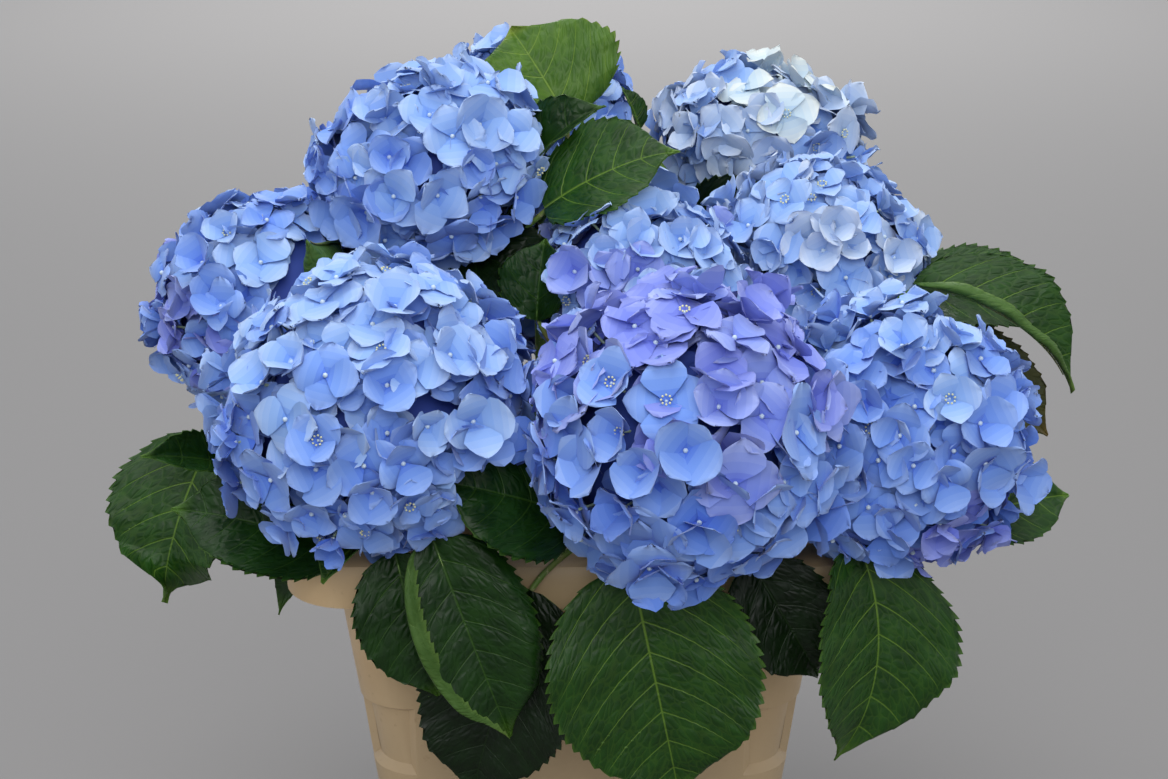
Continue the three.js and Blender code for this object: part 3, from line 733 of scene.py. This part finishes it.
# %% The rule of a blade
def blade_of(base, tip, width, face, bow, fold, roll, seed, curl=(0, 0), twist=0.0,
             sickle=0.0):
    """The blade as a function of u, v and lift, and how many teeth it has on a side."""
    rng = np.random.default_rng(seed)
    base, tip = np.array(base, float), np.array(tip, float)
    length = np.linalg.norm(tip - base)
    ahead = (tip - base) / length
    up = unit(np.array(face, float) - ahead * np.dot(face, ahead))
    side = np.cross(ahead, up)
    phase, wave = rng.uniform(0, 6.28, 4), 0.028 * width * (roll < 1)
    teeth = max(round(length * 0.95 / TEETH_EVERY), 3)
    veins = max(round(length / VEIN_EVERY), 3)

    def at(u, v, lift):
        tooth = (1 - (u * teeth) % 1) ** 1.3 * min(3.5, width * 0.052)
        half = np.maximum(width / 2 * outline(u), 1.0)
        half = half - tooth * smooth(half / 7) * (np.abs(v) > 0.98)
        run, rise, lean = profile(v, fold, roll, curl)
        out = np.abs(v) * half / length
        x = veins * (u - 0.45 * out - 1.15 * out**2) + 0.25
        quilt = np.abs(np.sin(np.pi * x)) ** 0.7 * smooth(np.abs(v) / 0.2)
        quilt = quilt * (1 - smooth((np.abs(v) - 0.75) / 0.25)) * min(1.5, width * 0.018)
        rib = -1.1 * (1 - smooth(np.abs(v) * half / 4)) * (1 - 0.6 * u)
        sway = wave * v**2 * (np.sin(9.0 * u + phase[0] + 1.6 * np.sign(v))
                              + 0.45 * np.sin(23 * u + phase[1] - 2.0 * np.sign(v)))
        droop = -0.5 * length * np.clip(u - 0.72, 0, 1) ** 2
        height = half * rise + quilt + rib + sway + lift * np.cos(lean)
        turn = twist * smooth((u - 0.72) / 0.26)
        width_way = half * run - lift * np.sin(lean)
        across = width_way * np.cos(turn) - height * np.sin(turn)
        across = across + sickle * 4 * u * (1 - u) * length
        height = width_way * np.sin(turn) + height * np.cos(turn)
        height = height + 4 * bow * length * u * (1 - u) + droop
        point = (base + ahead * (length * u)[..., None] + side * across[..., None]
                 + up * height[..., None])
        return point, np.stack([x, v * half / VEIN_EVERY], -1)

    return at, teeth


trial = blade_of((0, 0, 0), (0, 0, 100), 80, (0, -1, 0), 0.05, 0.1, 0.3, 1)
print("a leaf of 100 mm has", trial[1], "teeth on a side")

# %% [markdown]
# ### From blade to leaf
#
# A real leaf is thin, but a single sheet would show the same green on both sides. The upper and
# the lower side are both laid on the rule, a little apart, and a strip round the edge closes
# them. The lower side is paler. Rows of points stand closer at each tooth, so that few faces
# draw it sharply.

# %% Leaf
HALF_THICKNESS = 0.35


def add_leaf(mesh, leaf, slot, under_slot, seed, habit):
    """Adds a leaf, and returns the rule of its blade."""
    width = leaf[2]
    at, teeth = blade_of(*leaf, seed, **habit)
    per_tooth = np.array([0.03, 0.5, 0.97])
    u = np.unique(np.clip((np.arange(teeth)[:, None] + per_tooth).ravel() / teeth, 0.004, 0.998))
    columns = 23 if width > 40 else 15
    even = np.linspace(-1, 1, columns)
    v = np.sin(np.linspace(-np.pi / 2, np.pi / 2, columns)) * 0.35 + even * 0.65
    v[columns // 2] = 1e-4
    uu, vv = np.meshgrid(u, v, indexing="ij")
    upper, growth = at(uu, vv, HALF_THICKNESS)
    lower, _ = at(uu, vv, -HALF_THICKNESS)
    faces = grid_faces(len(u), columns)
    growth, uu, far = growth.reshape(-1, 2), uu.ravel(), np.abs(vv).ravel()
    mesh.add(upper, faces, slot, growth[faces].reshape(-1, 2), uu, far)
    faces = faces[:, ::-1]
    mesh.add(lower, faces, under_slot, growth[faces].reshape(-1, 2), uu, far)
    rim = np.concatenate([np.arange(columns), np.arange(1, len(u)) * columns + columns - 1,
                          np.arange(columns - 2, -1, -1) + (len(u) - 1) * columns,
                          np.arange(len(u) - 2, 0, -1) * columns])
    points = np.stack([upper.reshape(-1, 3)[rim], lower.reshape(-1, 3)[rim]])
    faces = grid_faces(2, len(rim), closed=True)[:, ::-1]
    around = np.concatenate([growth[rim], growth[rim]])
    mesh.add(points, faces, slot, around[faces].reshape(-1, 2), np.tile(uu[rim], 2),
             np.tile(far[rim], 2))
    return at


print("leaves are", 2 * HALF_THICKNESS, "mm thick")

# %% [markdown]
# ### Leaf stalks and hanging leaves
#
# A leaf stalk leaves its node, swings out level and runs on as the blade's midrib, which stands
# out underneath. It is a tube along one curve, so that no seam shows where stalk becomes midrib.
# Shoots with few rows in the table get further leaves by rule: these hang out from the neck.

# %% Leaf stalks and hanging leaves
HANGING = dict(length=108, width=78, out=38, down=6, apart=1.2, dips=(0.5, 0.85, 0.65))


def spare_leaf(cane, index, count):
    """A leaf that hangs out from the neck and dips towards its tip."""
    turn = math.atan2(cane.axis[1], cane.axis[0]) + (index - (count - 1) / 2) * HANGING["apart"]
    dip = HANGING["dips"][index % 3]
    out = np.array([math.cos(turn), math.sin(turn), 0])
    along = out * math.cos(dip) - [0, 0, math.sin(dip)]
    base = cane.neck + out * HANGING["out"] - [0, 0, HANGING["down"]]
    face = out * math.sin(dip) + [0, 0, math.cos(dip)]
    return base, base + along * HANGING["length"], HANGING["width"], face, 0.1, 0.1, 0.3


def add_petiole(mesh, cane, at, below_neck):
    """The stalk from a node of the shoot into the foot of the blade, running on as its midrib."""
    start = at_length(cane.path, np.array([1 - below_neck / cane.length]))[0]
    point = lambda u: at(np.array([u]), np.array([1e-4]), -0.9)[0][0]
    foot, inside = point(0.0), point(0.1)
    reach = np.linalg.norm(foot - start)
    level = (foot - start) * [1, 1, 0]
    handles = [start, start + level * 0.4, foot - unit(inside - foot) * reach * 0.15, inside]
    t = np.linspace(0, 1, 26)[:, None]
    curve = sum(c * h for c, h in zip(((1 - t) ** 3, 3 * t * (1 - t) ** 2, 3 * t**2 * (1 - t),
                                       t**3), handles))
    on = np.array([point(u) for u in np.linspace(0.14, 0.9, 18)])
    path = np.concatenate([curve, on])
    radii = np.concatenate([np.linspace(2.2, 1.5, len(curve)), np.linspace(1.3, 0.35, len(on))])
    radii[:3] += [0.9, 0.6, 0.25]
    mesh.add(*tube(path, radii, 8))


print("hanging leaves:", HANGING["length"], "by", HANGING["width"], "mm")

# %% [markdown]
# ### All the leaves
#
# The leaves of a shoot become one mesh, which replaces the shoot of the CAD model. A few leaves
# have habits of their own: a margin that curls over and shows its pale underside, or a tip that
# twists. The leaf stalks of all shoots go into one mesh with the shoots' bark.

# %% All the leaves
HABITS = {  # margins that curl over and tips that twist, by the cane and the leaf's place on it
    ("front_left", 4): dict(curl=(-1.1, 3.3)),
    ("left", 0): dict(twist=2.3),
    ("right", 0): dict(sickle=-0.1),
    ("right_top", 1): dict(curl=(0.0, 2.4)),
}
leaf_names = list(leaf_materials)
slot_of = {name: number for number, name in enumerate(leaf_names)}
leaf_surfaces = []
for name, cane in canes.items():
    rows = [(row[1:8], row[8]) for row in LEAVES + INNER_LEAVES if row[0] == name]
    rows += [(spare_leaf(cane, i, SPARES[name]), "mid" if i % 2 else "deep")
             for i in CANES[name][4]]
    foliage = Mesh()
    for index, (leaf, tint) in enumerate(rows):
        habit = HABITS.get((name, index), {})
        under = "under_light" if tint == "light" or "curl" in habit else "under"
        at = add_leaf(foliage, leaf, slot_of[tint], slot_of[under], len(leaf_surfaces) + index,
                      habit)
        add_petiole(stalks, cane, at, (14, 26)[index % 2])
    leaf_surfaces.append(foliage)
    piece = foliage.build(f"leaves_{name}", list(leaf_materials.values()), "shoot")
    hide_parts(f"shoot_{name}")
shoot_stalks = stalks.build("shoot_stalks", [cane_material], "shoot")
print("leaf faces:", sum(sum(len(f) for f in m.faces) for m in leaf_surfaces))

# %% [markdown]
# ## Florets
#
# A mophead's show is its sepals: each floret has four broad ones round a tiny bud. A flat cross
# with a picture of a floret would look like paper. So a sepal is a small grid over its own
# outline, cupped along its length, ruffled at its edge and scalloped a little, and its faces are
# numbered in six zones from the throat to the pale margin.

# %% A sepal
def sepal_grid(foot, tip, columns):
    """Places along a sepal, its width there and places across it, for a fine or coarse grid."""
    tip = np.radians(tip)
    along = np.concatenate([foot, 0.5 + 0.5 * np.sin(tip)])
    wide = np.concatenate([np.interp(foot, [0, 0.14, 0.3, 0.5], [0.10, 0.38, 0.76, 1.0]),
                           np.cos(tip)])
    return along, wide, np.array(columns)


FINE = sepal_grid([0.0, 0.12, 0.25, 0.38, 0.5], [24, 44, 62, 77, 89],
                  [-1.0, -0.7, -0.35, 0.0, 0.35, 0.7, 1.0])
COARSE = sepal_grid([0.0, 0.2, 0.5], [40, 70, 88], [-1.0, -0.4, 0.4, 1.0])
ZONE_STARTS = [0.1, 0.2, 0.45, 0.7, 0.88]


def sepal(rng, turn, pitch, bend, grid):
    """Points, faces and zones of one sepal of unit length, growing out along a direction."""
    along, wide, columns = grid
    u, v = np.meshgrid(along, columns, indexing="ij")
    blunt = np.where(along > 0.5, rng.uniform(0.8, 1.05), 1)
    half = (rng.uniform(0.98, 1.22) / 2 * wide**blunt)[:, None] * np.ones_like(v)
    angle = pitch + (bend + rng.uniform(-0.3, 0.3)) * along + rng.uniform(-0.2, 0.2)
    step = np.diff(along, prepend=0)
    out = np.cumsum(np.cos(angle) * step)[:, None] * np.ones_like(v)
    rise = np.cumsum(np.sin(angle) * step)[:, None] * np.ones_like(v)
    camber = rng.uniform(-0.3, 0.4)
    ruffle = rng.uniform(0.02, 0.055)
    notch = rng.uniform(-0.05, 0.05)
    scallop = 1 + 0.025 * np.sin(9 * u + 1.5 * v + rng.uniform(0, 6.28))
    out = out - 0.12 * v**2 * u**2 * wide[:, None]
    out = out - notch * (1 - np.abs(v)) * smooth((u - 0.75) / 0.25)
    rise = (rise + camber * half * v**2
            + ruffle * np.sin(3.1 * np.pi * v + rng.uniform(0, 6.28)) * u**2
            + 1.3 * ruffle * np.sin(4.2 * u * np.pi + rng.uniform(0, 6.28)) * v**3 * u)
    y = v * half * scallop * (1 - 0.18 * abs(camber) * v**2)
    y = y + 0.03 * np.sin(5 * u + rng.uniform(0, 6.28)) * u
    c, s = math.cos(turn), math.sin(turn)
    points = np.stack([out * c - y * s, out * s + y * c, rise], -1)
    middle = np.repeat((along[:-1] + along[1:]) / 2, len(columns) - 1)
    return points.reshape(-1, 3), grid_faces(*u.shape), np.searchsorted(ZONE_STARTS, middle)


print("a sepal has", len(sepal(np.random.default_rng(0), 0, 0.3, -0.3, FINE)[1]), "faces")

# %% [markdown]
# ### Floret shapes
#
# Opposite sepals make a pair, and one pair lies over the other. Young florets are cupped and old
# ones flat. A set of differing florets is made once, fine ones for the surface of a head and
# coarser ones for the layer under it, and copies of them cover every head.

# %% Floret shapes
HABIT_OF_FLORET = [(0.15, -0.3), (0.42, -0.5), (0.65, -0.35), (1.0, -0.4)]  # pitch and bend
HABIT_SHARES = [0.2, 0.32, 0.3, 0.18]


def floret_shape(seed, grid):
    """A floret of four sepals, one pair over the other, flat, cupped or half closed."""
    rng = np.random.default_rng(seed)
    points, faces, zones, count = [], [], [], 0
    pitch, bend = HABIT_OF_FLORET[rng.choice(len(HABIT_OF_FLORET), p=HABIT_SHARES)]
    for k in range(4):
        p, f, z = sepal(rng, k * np.pi / 2 + rng.uniform(-0.14, 0.14), pitch, bend, grid)
        p = p * rng.uniform(0.86, 1.06) + [0, 0, 0.025 if k % 2 else -0.025]
        points.append(p)
        faces.append(f + count)
        zones.append(z)
        count += len(p)
    return np.concatenate(points), np.concatenate(faces), np.concatenate(zones)


def ball(rows=4, columns=6):
    """A small round bud of four-sided faces."""
    a = np.linspace(0.15, np.pi - 0.15, rows)[:, None]
    t = np.linspace(0, 2 * np.pi, columns, endpoint=False)[None]
    points = np.stack([np.sin(a) * np.cos(t), np.sin(a) * np.sin(t), np.cos(a) * np.ones_like(t)],
                      -1)
    return points.reshape(-1, 3), closed_grid(rows, columns)[:, ::-1]


SHAPES = [floret_shape(seed, FINE) for seed in range(40)]
LOWER = [floret_shape(seed, COARSE) for seed in range(100, 112)]
BUD = ball()
print(len(SHAPES), "floret shapes of", len(SHAPES[0][1]), "faces and", len(LOWER), "of",
      len(LOWER[0][1]))

# %% [markdown]
# ## Heads
#
# A mophead is a dome of a hundred or more florets, and no two heads in a bunch have quite the
# same blue. The tints also paint light and shade: each head has a way from its shaded side to its
# lit side and a row of tints along it, mostly deeper on the shaded side and paler on the lit side,
# and chance only shifts a floret's place in that row. The high heads on the right get paler rows,
# which is painted light too. Heavy heads lean and sag a little, and one has grown flat against
# its neighbour.

# %% Colours and habits of the heads
HEAD_TINTS_AND_LIGHT = {  # the way to a head's lit side, and its tints from its shaded side to its lit side: painted shade and light
    "left_top": ((0.5, -0.3, 0.8), ["deep", "blue", "sky", "blue", "sky", "sky"]),
    "back_top": ((0, 0, 1), ["deep", "blue", "blue", "sky"]),
    "left": ((0.2, -0.1, 1), ["deep", "blue", "violet", "blue", "lavender", "blue", "sky"]),
    "front_left": ((0, 0, 1), ["deep", "blue", "blue", "blue", "sky", "blue", "sky"]),
    "front_centre": ((0.25, 0.05, 1), ["deep", "blue", "deep", "blue", "blue", "violet",
                                       "lavender", "violet"]),
    "right": ((-0.1, 0, 1), ["violet", "deep", "blue", "blue", "blue", "sky"]),
    "right_top": ((0.1, 0, 1), ["blue", "sky", "sky", "sky", "pale", "sky", "sky"]),
    "middle": ((0.3, -0.2, 1), ["deep", "blue", "sky", "lavender", "sky", "sky"]),
    "right_back": ((0.4, 0, 0.9), ["blue", "sky", "sky", "pale", "sky", "pale", "cream"]),
    "back_left": ((0, 0, 1), ["deep", "blue", "blue", "lavender", "sky"]),
    "back_right": ((0, 0, 1), ["deep", "blue", "blue", "sky", "sky"]),
    "back": ((0, 0, 1), ["deep", "blue", "violet", "lavender", "sky"]),
}
TINT_SPRAY = 0.12  # how far chance shifts a floret's place in its head's row of tints
NUDGE = {  # how far heavy heads lean and sag
    "left_top": np.array([5, 0, -7]), "right": np.array([-13, 0, 2]),
    "left": np.array([12, 0, 0]), "right_back": np.array([0, 0, -7]),
    "right_top": np.array([-9, 0, -4]), "front_left": np.array([3, 0, 0]),
}
FLAT_SIDE = {"left_top": (unit((-0.75, 0, 0.65)), 0.16)}  # a side that grew against another head
HOLLOWS = [((-148, -58, 472), 28), ((-151, -20, 464), 28)]  # kept free for a rolled leaf
FLORET = {"front_left": 19, "front_centre": 22, "right": 18.5, "left_top": 20.5,
          "right_back": 19.5, "left": 18.5, "right_top": 17.5, "middle": 18}
COMMON_FLORET = 20  # half the width of a floret on the other heads, in mm
print(len(HEAD_TINTS_AND_LIGHT), "heads in", len(SEPAL_TINTS), "tints")

# %% [markdown]
# ### Places on a head
#
# A head is an ellipsoid round its middle, with its axis along the cane, and drawn in a little
# under its widest part. A place on it is an angle from the axis and an angle round it, because a
# spiral of florets is laid out in just these two. A floret's face looks out from there, tilted a
# little by chance, and that gives the three axes on which its shape is laid.

# %% Places on a head
GOLDEN = np.pi * (3 - math.sqrt(5))  # the turn from floret to floret on the spiral
WAIST = 1.7  # the angle from the axis at which a head starts to draw in


def bloom_at(cane, angle, round_, part):
    """A point of the head in a direction given by its angle from the axis and round it."""
    z = np.array([0.0, 0.0, 1.0])
    turn = Vector(z).rotation_difference(Vector(cane.axis)).to_matrix()
    under = max(angle - WAIST, 0) / (math.pi - WAIST)
    wide = cane.across * math.sin(angle)
    local = np.array([wide * math.cos(round_), wide * math.sin(round_),
                      cane.along * math.cos(angle)]) * part * (1 - 0.16 * under)
    local = np.array(turn) @ local
    if cane.name in FLAT_SIDE:
        way, less = FLAT_SIDE[cane.name]
        local = local * (1 - less * max(np.dot(unit(local), way), 0) ** 2)
    return cane.centre + NUDGE.get(cane.name, 0) + local


def outward_at(cane, point):
    """The direction that faces out from the head at a point."""
    z = unit(cane.axis)
    local = point - cane.centre
    h = np.dot(local, z)
    flat = local - z * h
    return unit(flat / cane.across**2 + z * h / cane.along**2)


def frame_for(out, spin, tilt, rng):
    """Three axes of a floret: its face looks out, tilted a little and turned."""
    lean = unit(np.cross(out, unit(rng.standard_normal(3))))
    out = unit(out + lean * math.tan(tilt))
    side = unit(np.cross(out, [0.31, 0.2, 0.93]))
    other = np.cross(out, side)
    c, s = math.cos(spin), math.sin(spin)
    return np.stack([side * c + other * s, other * c - side * s, out])


print("the golden turn is", round(math.degrees(GOLDEN), 1), "degrees")

# %% [markdown]
# ### Keeping clear
#
# In a bunch, florets and leaves push each other aside. Moving them by a simulation would be slow
# and hard to repeat exactly. Here a floret is tested before it is added: rays over its face
# find how large it may be before it cuts a leaf, and it is left out where it would stand inside
# a neighbouring head.

# %% Keeping clear
def tree_of(meshes):
    """A search tree of all faces of some meshes, for rays."""
    points, faces, count = [], [], 0
    for mesh in meshes:
        if mesh.faces:
            p = np.concatenate(mesh.points)
            points.append(p)
            faces.append(np.concatenate(mesh.faces) + count)
            count += len(p)
    return BVHTree.FromPolygons(np.concatenate(points).tolist(), np.concatenate(faces).tolist())


leaf_search = tree_of(leaf_surfaces)


def free_radius(cane, eye, axes, radius):
    """How large the floret may be before it cuts a leaf: 0 if its stalk would pass through one."""
    ahead = eye - cane.centre
    hit = leaf_search.ray_cast(Vector(cane.centre), Vector(unit(ahead)),
                               float(np.linalg.norm(ahead)) + 2)
    if hit[0] is not None:
        return 0
    shortest = radius
    for turn in np.linspace(0, 2 * np.pi, 12, endpoint=False):
        way = axes[0] * math.cos(turn) + axes[1] * math.sin(turn)
        hit = leaf_search.ray_cast(Vector(eye), Vector(way), radius)
        if hit[0] is not None:
            shortest = min(shortest, hit[3] - 1)
    return shortest


def inside_other(cane, point):
    """Whether a point is well inside another head."""
    for other in canes.values():
        if other is not cane:
            local = point - other.centre
            h = np.dot(local, other.axis)
            flat = np.linalg.norm(local - other.axis * h)
            if (flat / other.across) ** 2 + (h / other.along) ** 2 < 0.80:
                return True
    return False


def in_hollow(point):
    """Whether a point is in a space kept free for a leaf."""
    return any(np.linalg.norm(point - middle) < reach for middle, reach in HOLLOWS)


reached = leaf_search.ray_cast(Vector((0, -400, 260)), Vector((0, 1, 0)))
print("a ray from the front meets a leaf at y =", round(reached[0][1]) if reached[0] else "none")

# %% [markdown]
# ### Growing a head
#
# Florets stand on a spiral over the head, as seeds do on a sunflower, which spreads them evenly.
# Of each three the second stands a step deeper and the third two, so that they shingle over each
# other, and slow lumps keep the dome from looking turned on a lathe. A lower layer stands under
# them, and a last round puts a floret wherever chance has left a gap. Thin stalks gather towards
# the neck.

# %% Growing a head
LUMPS = 0.04  # clusters of florets bulge out and sink in by this part of the head
LAYER_STEP = 3.2  # how much deeper each of three layers of florets stands, in mm
LAYERS = (  # shapes, part of the head, angle down to which it reaches, florets for its area
    (SHAPES, 0.905, 2.6, 2.0),
    (LOWER, 0.81, 2.7, 1.9),
)
OPEN_SHARE = 0.12  # the florets whose bud has opened and shows its stamens
SMALLEST, SMALLEST_FILLER = 9, 8  # florets with less room than this are left out, in mm
GAP_TRIES, GAP = 500, 0.72  # places looked at, and the gap to fill, in florets


def tint_with_painted_light_at(cane, eye, rng):
    """The tint of a floret by its place between the head's shaded and lit sides, as painted shade
    and light, with a little chance.
    """
    way, order = HEAD_TINTS_AND_LIGHT[cane.name]
    place = (np.dot(unit(eye - cane.centre), unit(way)) + 1) / 2 + rng.normal(0, TINT_SPRAY)
    return order[int(np.clip(place * len(order), 0, len(order) - 1))]


def add_floret(heads, buds, shapes, eye, axes, size, tint, rng):
    """Adds a floret, and on the surface of the head its bud or its stamens."""
    points, faces, zones = shapes[rng.integers(len(shapes))]
    heads.add(eye + (points * size) @ axes, faces, sepal_slot[tint] + zones)
    if shapes is LOWER:
        return
    open_ = rng.random() < OPEN_SHARE
    bud = BUD[0] * (1.0 if open_ else 1.5)
    buds.add(eye + (bud + [0, 0, 1.0]) @ axes, BUD[1], 0)
    if open_:
        for k in range(8):
            t = k * np.pi / 4
            tip = np.array([2.5 * math.cos(t), 2.5 * math.sin(t), 3.2])
            buds.add(eye + (BUD[0] * 0.65 + tip) @ axes, BUD[1], 1)


def fill_gaps(cane, heads, buds, eyes, size, rng):
    """A floret wherever chance has left a gap wider than most florets."""
    for f in range(GAP_TRIES):
        angle = math.acos(1 + (math.cos(2.5) - 1) * (f + 0.5) / GAP_TRIES)
        eye = bloom_at(cane, angle, f * GOLDEN, 0.87)
        nearest = np.linalg.norm(np.array(eyes) - eye, axis=1).min()
        if nearest < GAP * size or inside_other(cane, eye) or in_hollow(eye):
            continue
        axes = frame_for(outward_at(cane, eye), rng.uniform(0, 6.28), rng.uniform(0, 0.3), rng)
        radius = free_radius(cane, eye, axes, size)
        if radius > SMALLEST_FILLER:
            add_floret(heads, buds, SHAPES, eye, axes, radius, tint_with_painted_light_at(cane, eye, rng), rng)
            eyes.append(eye)


def grow_head(cane, seed):
    """The florets, the buds and the stalks of one head."""
    rng = np.random.default_rng(seed)
    size = FLORET.get(cane.name, COMMON_FLORET)
    area = 4 * np.pi * ((cane.across**2 + 2 * cane.across * cane.along) / 3) * 0.85
    heads, buds, threads = Mesh(), Mesh(), Mesh()
    hub = cane.neck + cane.axis * 0.30 * cane.along
    eyes = []
    for shapes, part, cover, share in LAYERS:
        count = int(area / (np.pi * size**2) * share)
        for f in range(count):
            angle = math.acos(1 + (math.cos(cover) - 1) * (f + 0.5) / count)
            angle = float(np.clip(angle + rng.normal(0, 0.05), 0, 2.75))
            round_ = f * GOLDEN + rng.normal(0, 0.12)
            lump = 1 + LUMPS * math.sin(3 * round_ + seed) * math.sin(4.2 * angle + 2.1 * seed)
            depth = part * lump + rng.uniform(-0.03, 0.03) - (f % 3) * LAYER_STEP / cane.across
            eye = bloom_at(cane, angle, round_, depth)
            axes = frame_for(outward_at(cane, eye), rng.uniform(0, 6.28),
                             abs(rng.normal(0, 0.27)), rng)
            if inside_other(cane, eye) or in_hollow(eye):
                continue
            radius = free_radius(cane, eye, axes, size * rng.uniform(0.82, 1.14))
            if radius < SMALLEST:
                continue
            tint = tint_with_painted_light_at(cane, eye, rng)
            add_floret(heads, buds, shapes, eye, axes, radius, tint, rng)
            eyes.append(eye)
            if shapes is SHAPES:
                start = hub if angle > 1.1 else cane.centre
                way = np.linspace(start, eye - axes[2] * 1.0, 5)
                way += cane.axis * 3 * np.sin(np.linspace(0, np.pi, 5))[:, None]
                threads.add(*tube(way, [1.3, 1.0, 0.9, 0.8, 0.8], 4))
    fill_gaps(cane, heads, buds, eyes, size, rng)
    return heads, buds, threads


print(len(LAYERS), "layers of florets")

# %% [markdown]
# ### All the heads
#
# Between the florets a real head is dark, because its close stalks lie in shade. An uneven dark
# blue sheet paints that shade in their place, hollowed underneath like an umbrella. Each head is
# four pieces: its florets, which replace the bloom of the CAD model, its buds, its stalks and
# this painted shade inside it.

# %% All the heads
def shade_sheet_of(cane):
    """A dark blue, uneven sheet inside the head that paints the shade between its florets,
    hollowed underneath like an umbrella.
    """
    a = np.linspace(0.02, np.pi - 0.02, 18)
    t = np.linspace(0, 2 * np.pi, 28, endpoint=False)
    points = np.array([[bloom_at(cane, x, y, 0.74 * (1 - 0.5 * smooth((x - 1.9) / 0.9))
                                 * (1 + 0.04 * math.sin(5 * x) * math.cos(6 * y)))
                        for y in t] for x in a])
    return points, closed_grid(len(a), len(t))[:, ::-1]


total = 0
for seed, (name, cane) in enumerate(canes.items()):
    heads, buds, threads = grow_head(cane, 1000 + seed)
    piece = heads.build(f"florets_{name}", sepal_materials, "bloom")
    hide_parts(f"bloom_{name}")
    buds.build(f"buds_{name}", [eye_material, stamen_material], "bloom")
    shade_sheet = Mesh()
    shade_sheet.add(*shade_sheet_of(cane))
    shade_sheet.build(f"inside_{name}", [inside_shade_material], "bloom")
    path = np.array([cane.neck + cane.end * 0.3, cane.neck + cane.axis * 0.32 * cane.along])
    threads.add(*tube(np.linspace(*path, 6), np.linspace(3.0, 3.4, 6), 10))
    threads.build(f"stalks_{name}", [stalk_material], "bloom")
    total += len(piece.data.polygons)
print("sepal faces:", total)

# %% [markdown]
# ## Room, light and camera
#
# A bunch of flowers is best shown in even, soft light: hard light would cut the sepals into black
# and white. A plain pale floor runs back out of the picture. One large round light hangs over the
# bunch, a second one in front of it, and a third brightens the floor far behind. The world adds
# an even, slightly cool light from all round, which opens the shadows.

# %% Floor and light
bpy.ops.mesh.primitive_plane_add(size=40, location=(0, 0, 0))
floor = bpy.context.active_object
floor.name = "floor"
floor.data.materials.append(new_material("floor paint", linear(127, 125, 124), 0.9)[0])

world = bpy.data.worlds.new("studio")
world.use_nodes = True
world.node_tree.nodes["Background"].inputs[0].default_value = (0.93, 0.96, 1.0, 1)
world.node_tree.nodes["Background"].inputs[1].default_value = 0.86
bpy.context.scene.world = world
bpy.context.scene.view_settings.view_transform = "Standard"


def softbox(name, place, target, size, power):
    """A round light with soft edges that looks at a target; lengths are metres, power is watts."""
    light = bpy.data.lights.new(name, "AREA")
    light.shape, light.size, light.energy = "DISK", size, power
    lamp = bpy.data.objects.new(name, light)
    lamp.location = place
    lamp.rotation_euler = (Vector(target) - Vector(place)).to_track_quat("-Z", "Y").to_euler()
    bpy.context.scene.collection.objects.link(lamp)


softbox("top", (-0.25, -0.1, 2.6), (0, 0, 0.4), 1.8, 23)
softbox("key", (0.1, -2.05, 1.8), (0, 0, 0.42), 1.3, 20.5)
softbox("far floor", (0.0, 4.8, 2.6), (0, 4.4, 0), 3.0, 125)
print("lights:", ", ".join(light.name for light in bpy.data.lights))

# %% [markdown]
# ### Camera
#
# The camera stands in front of the bunch, above it, and looks down at it through a long lens, so
# that the heads keep their true proportions and the bucket's foot stays out of the picture.

# %% Camera
camera = bpy.data.cameras.new("camera")
camera.sensor_width, camera.lens = 36, 65.87
eye = bpy.data.objects.new("camera", camera)
eye.location = (0.0023, -1.1888, 0.7703)
eye.rotation_euler = (math.radians(72), 0, 0)
bpy.context.scene.collection.objects.link(eye)
bpy.context.scene.camera = eye
print("camera lens:", round(camera.lens), "mm")

# %% [markdown]
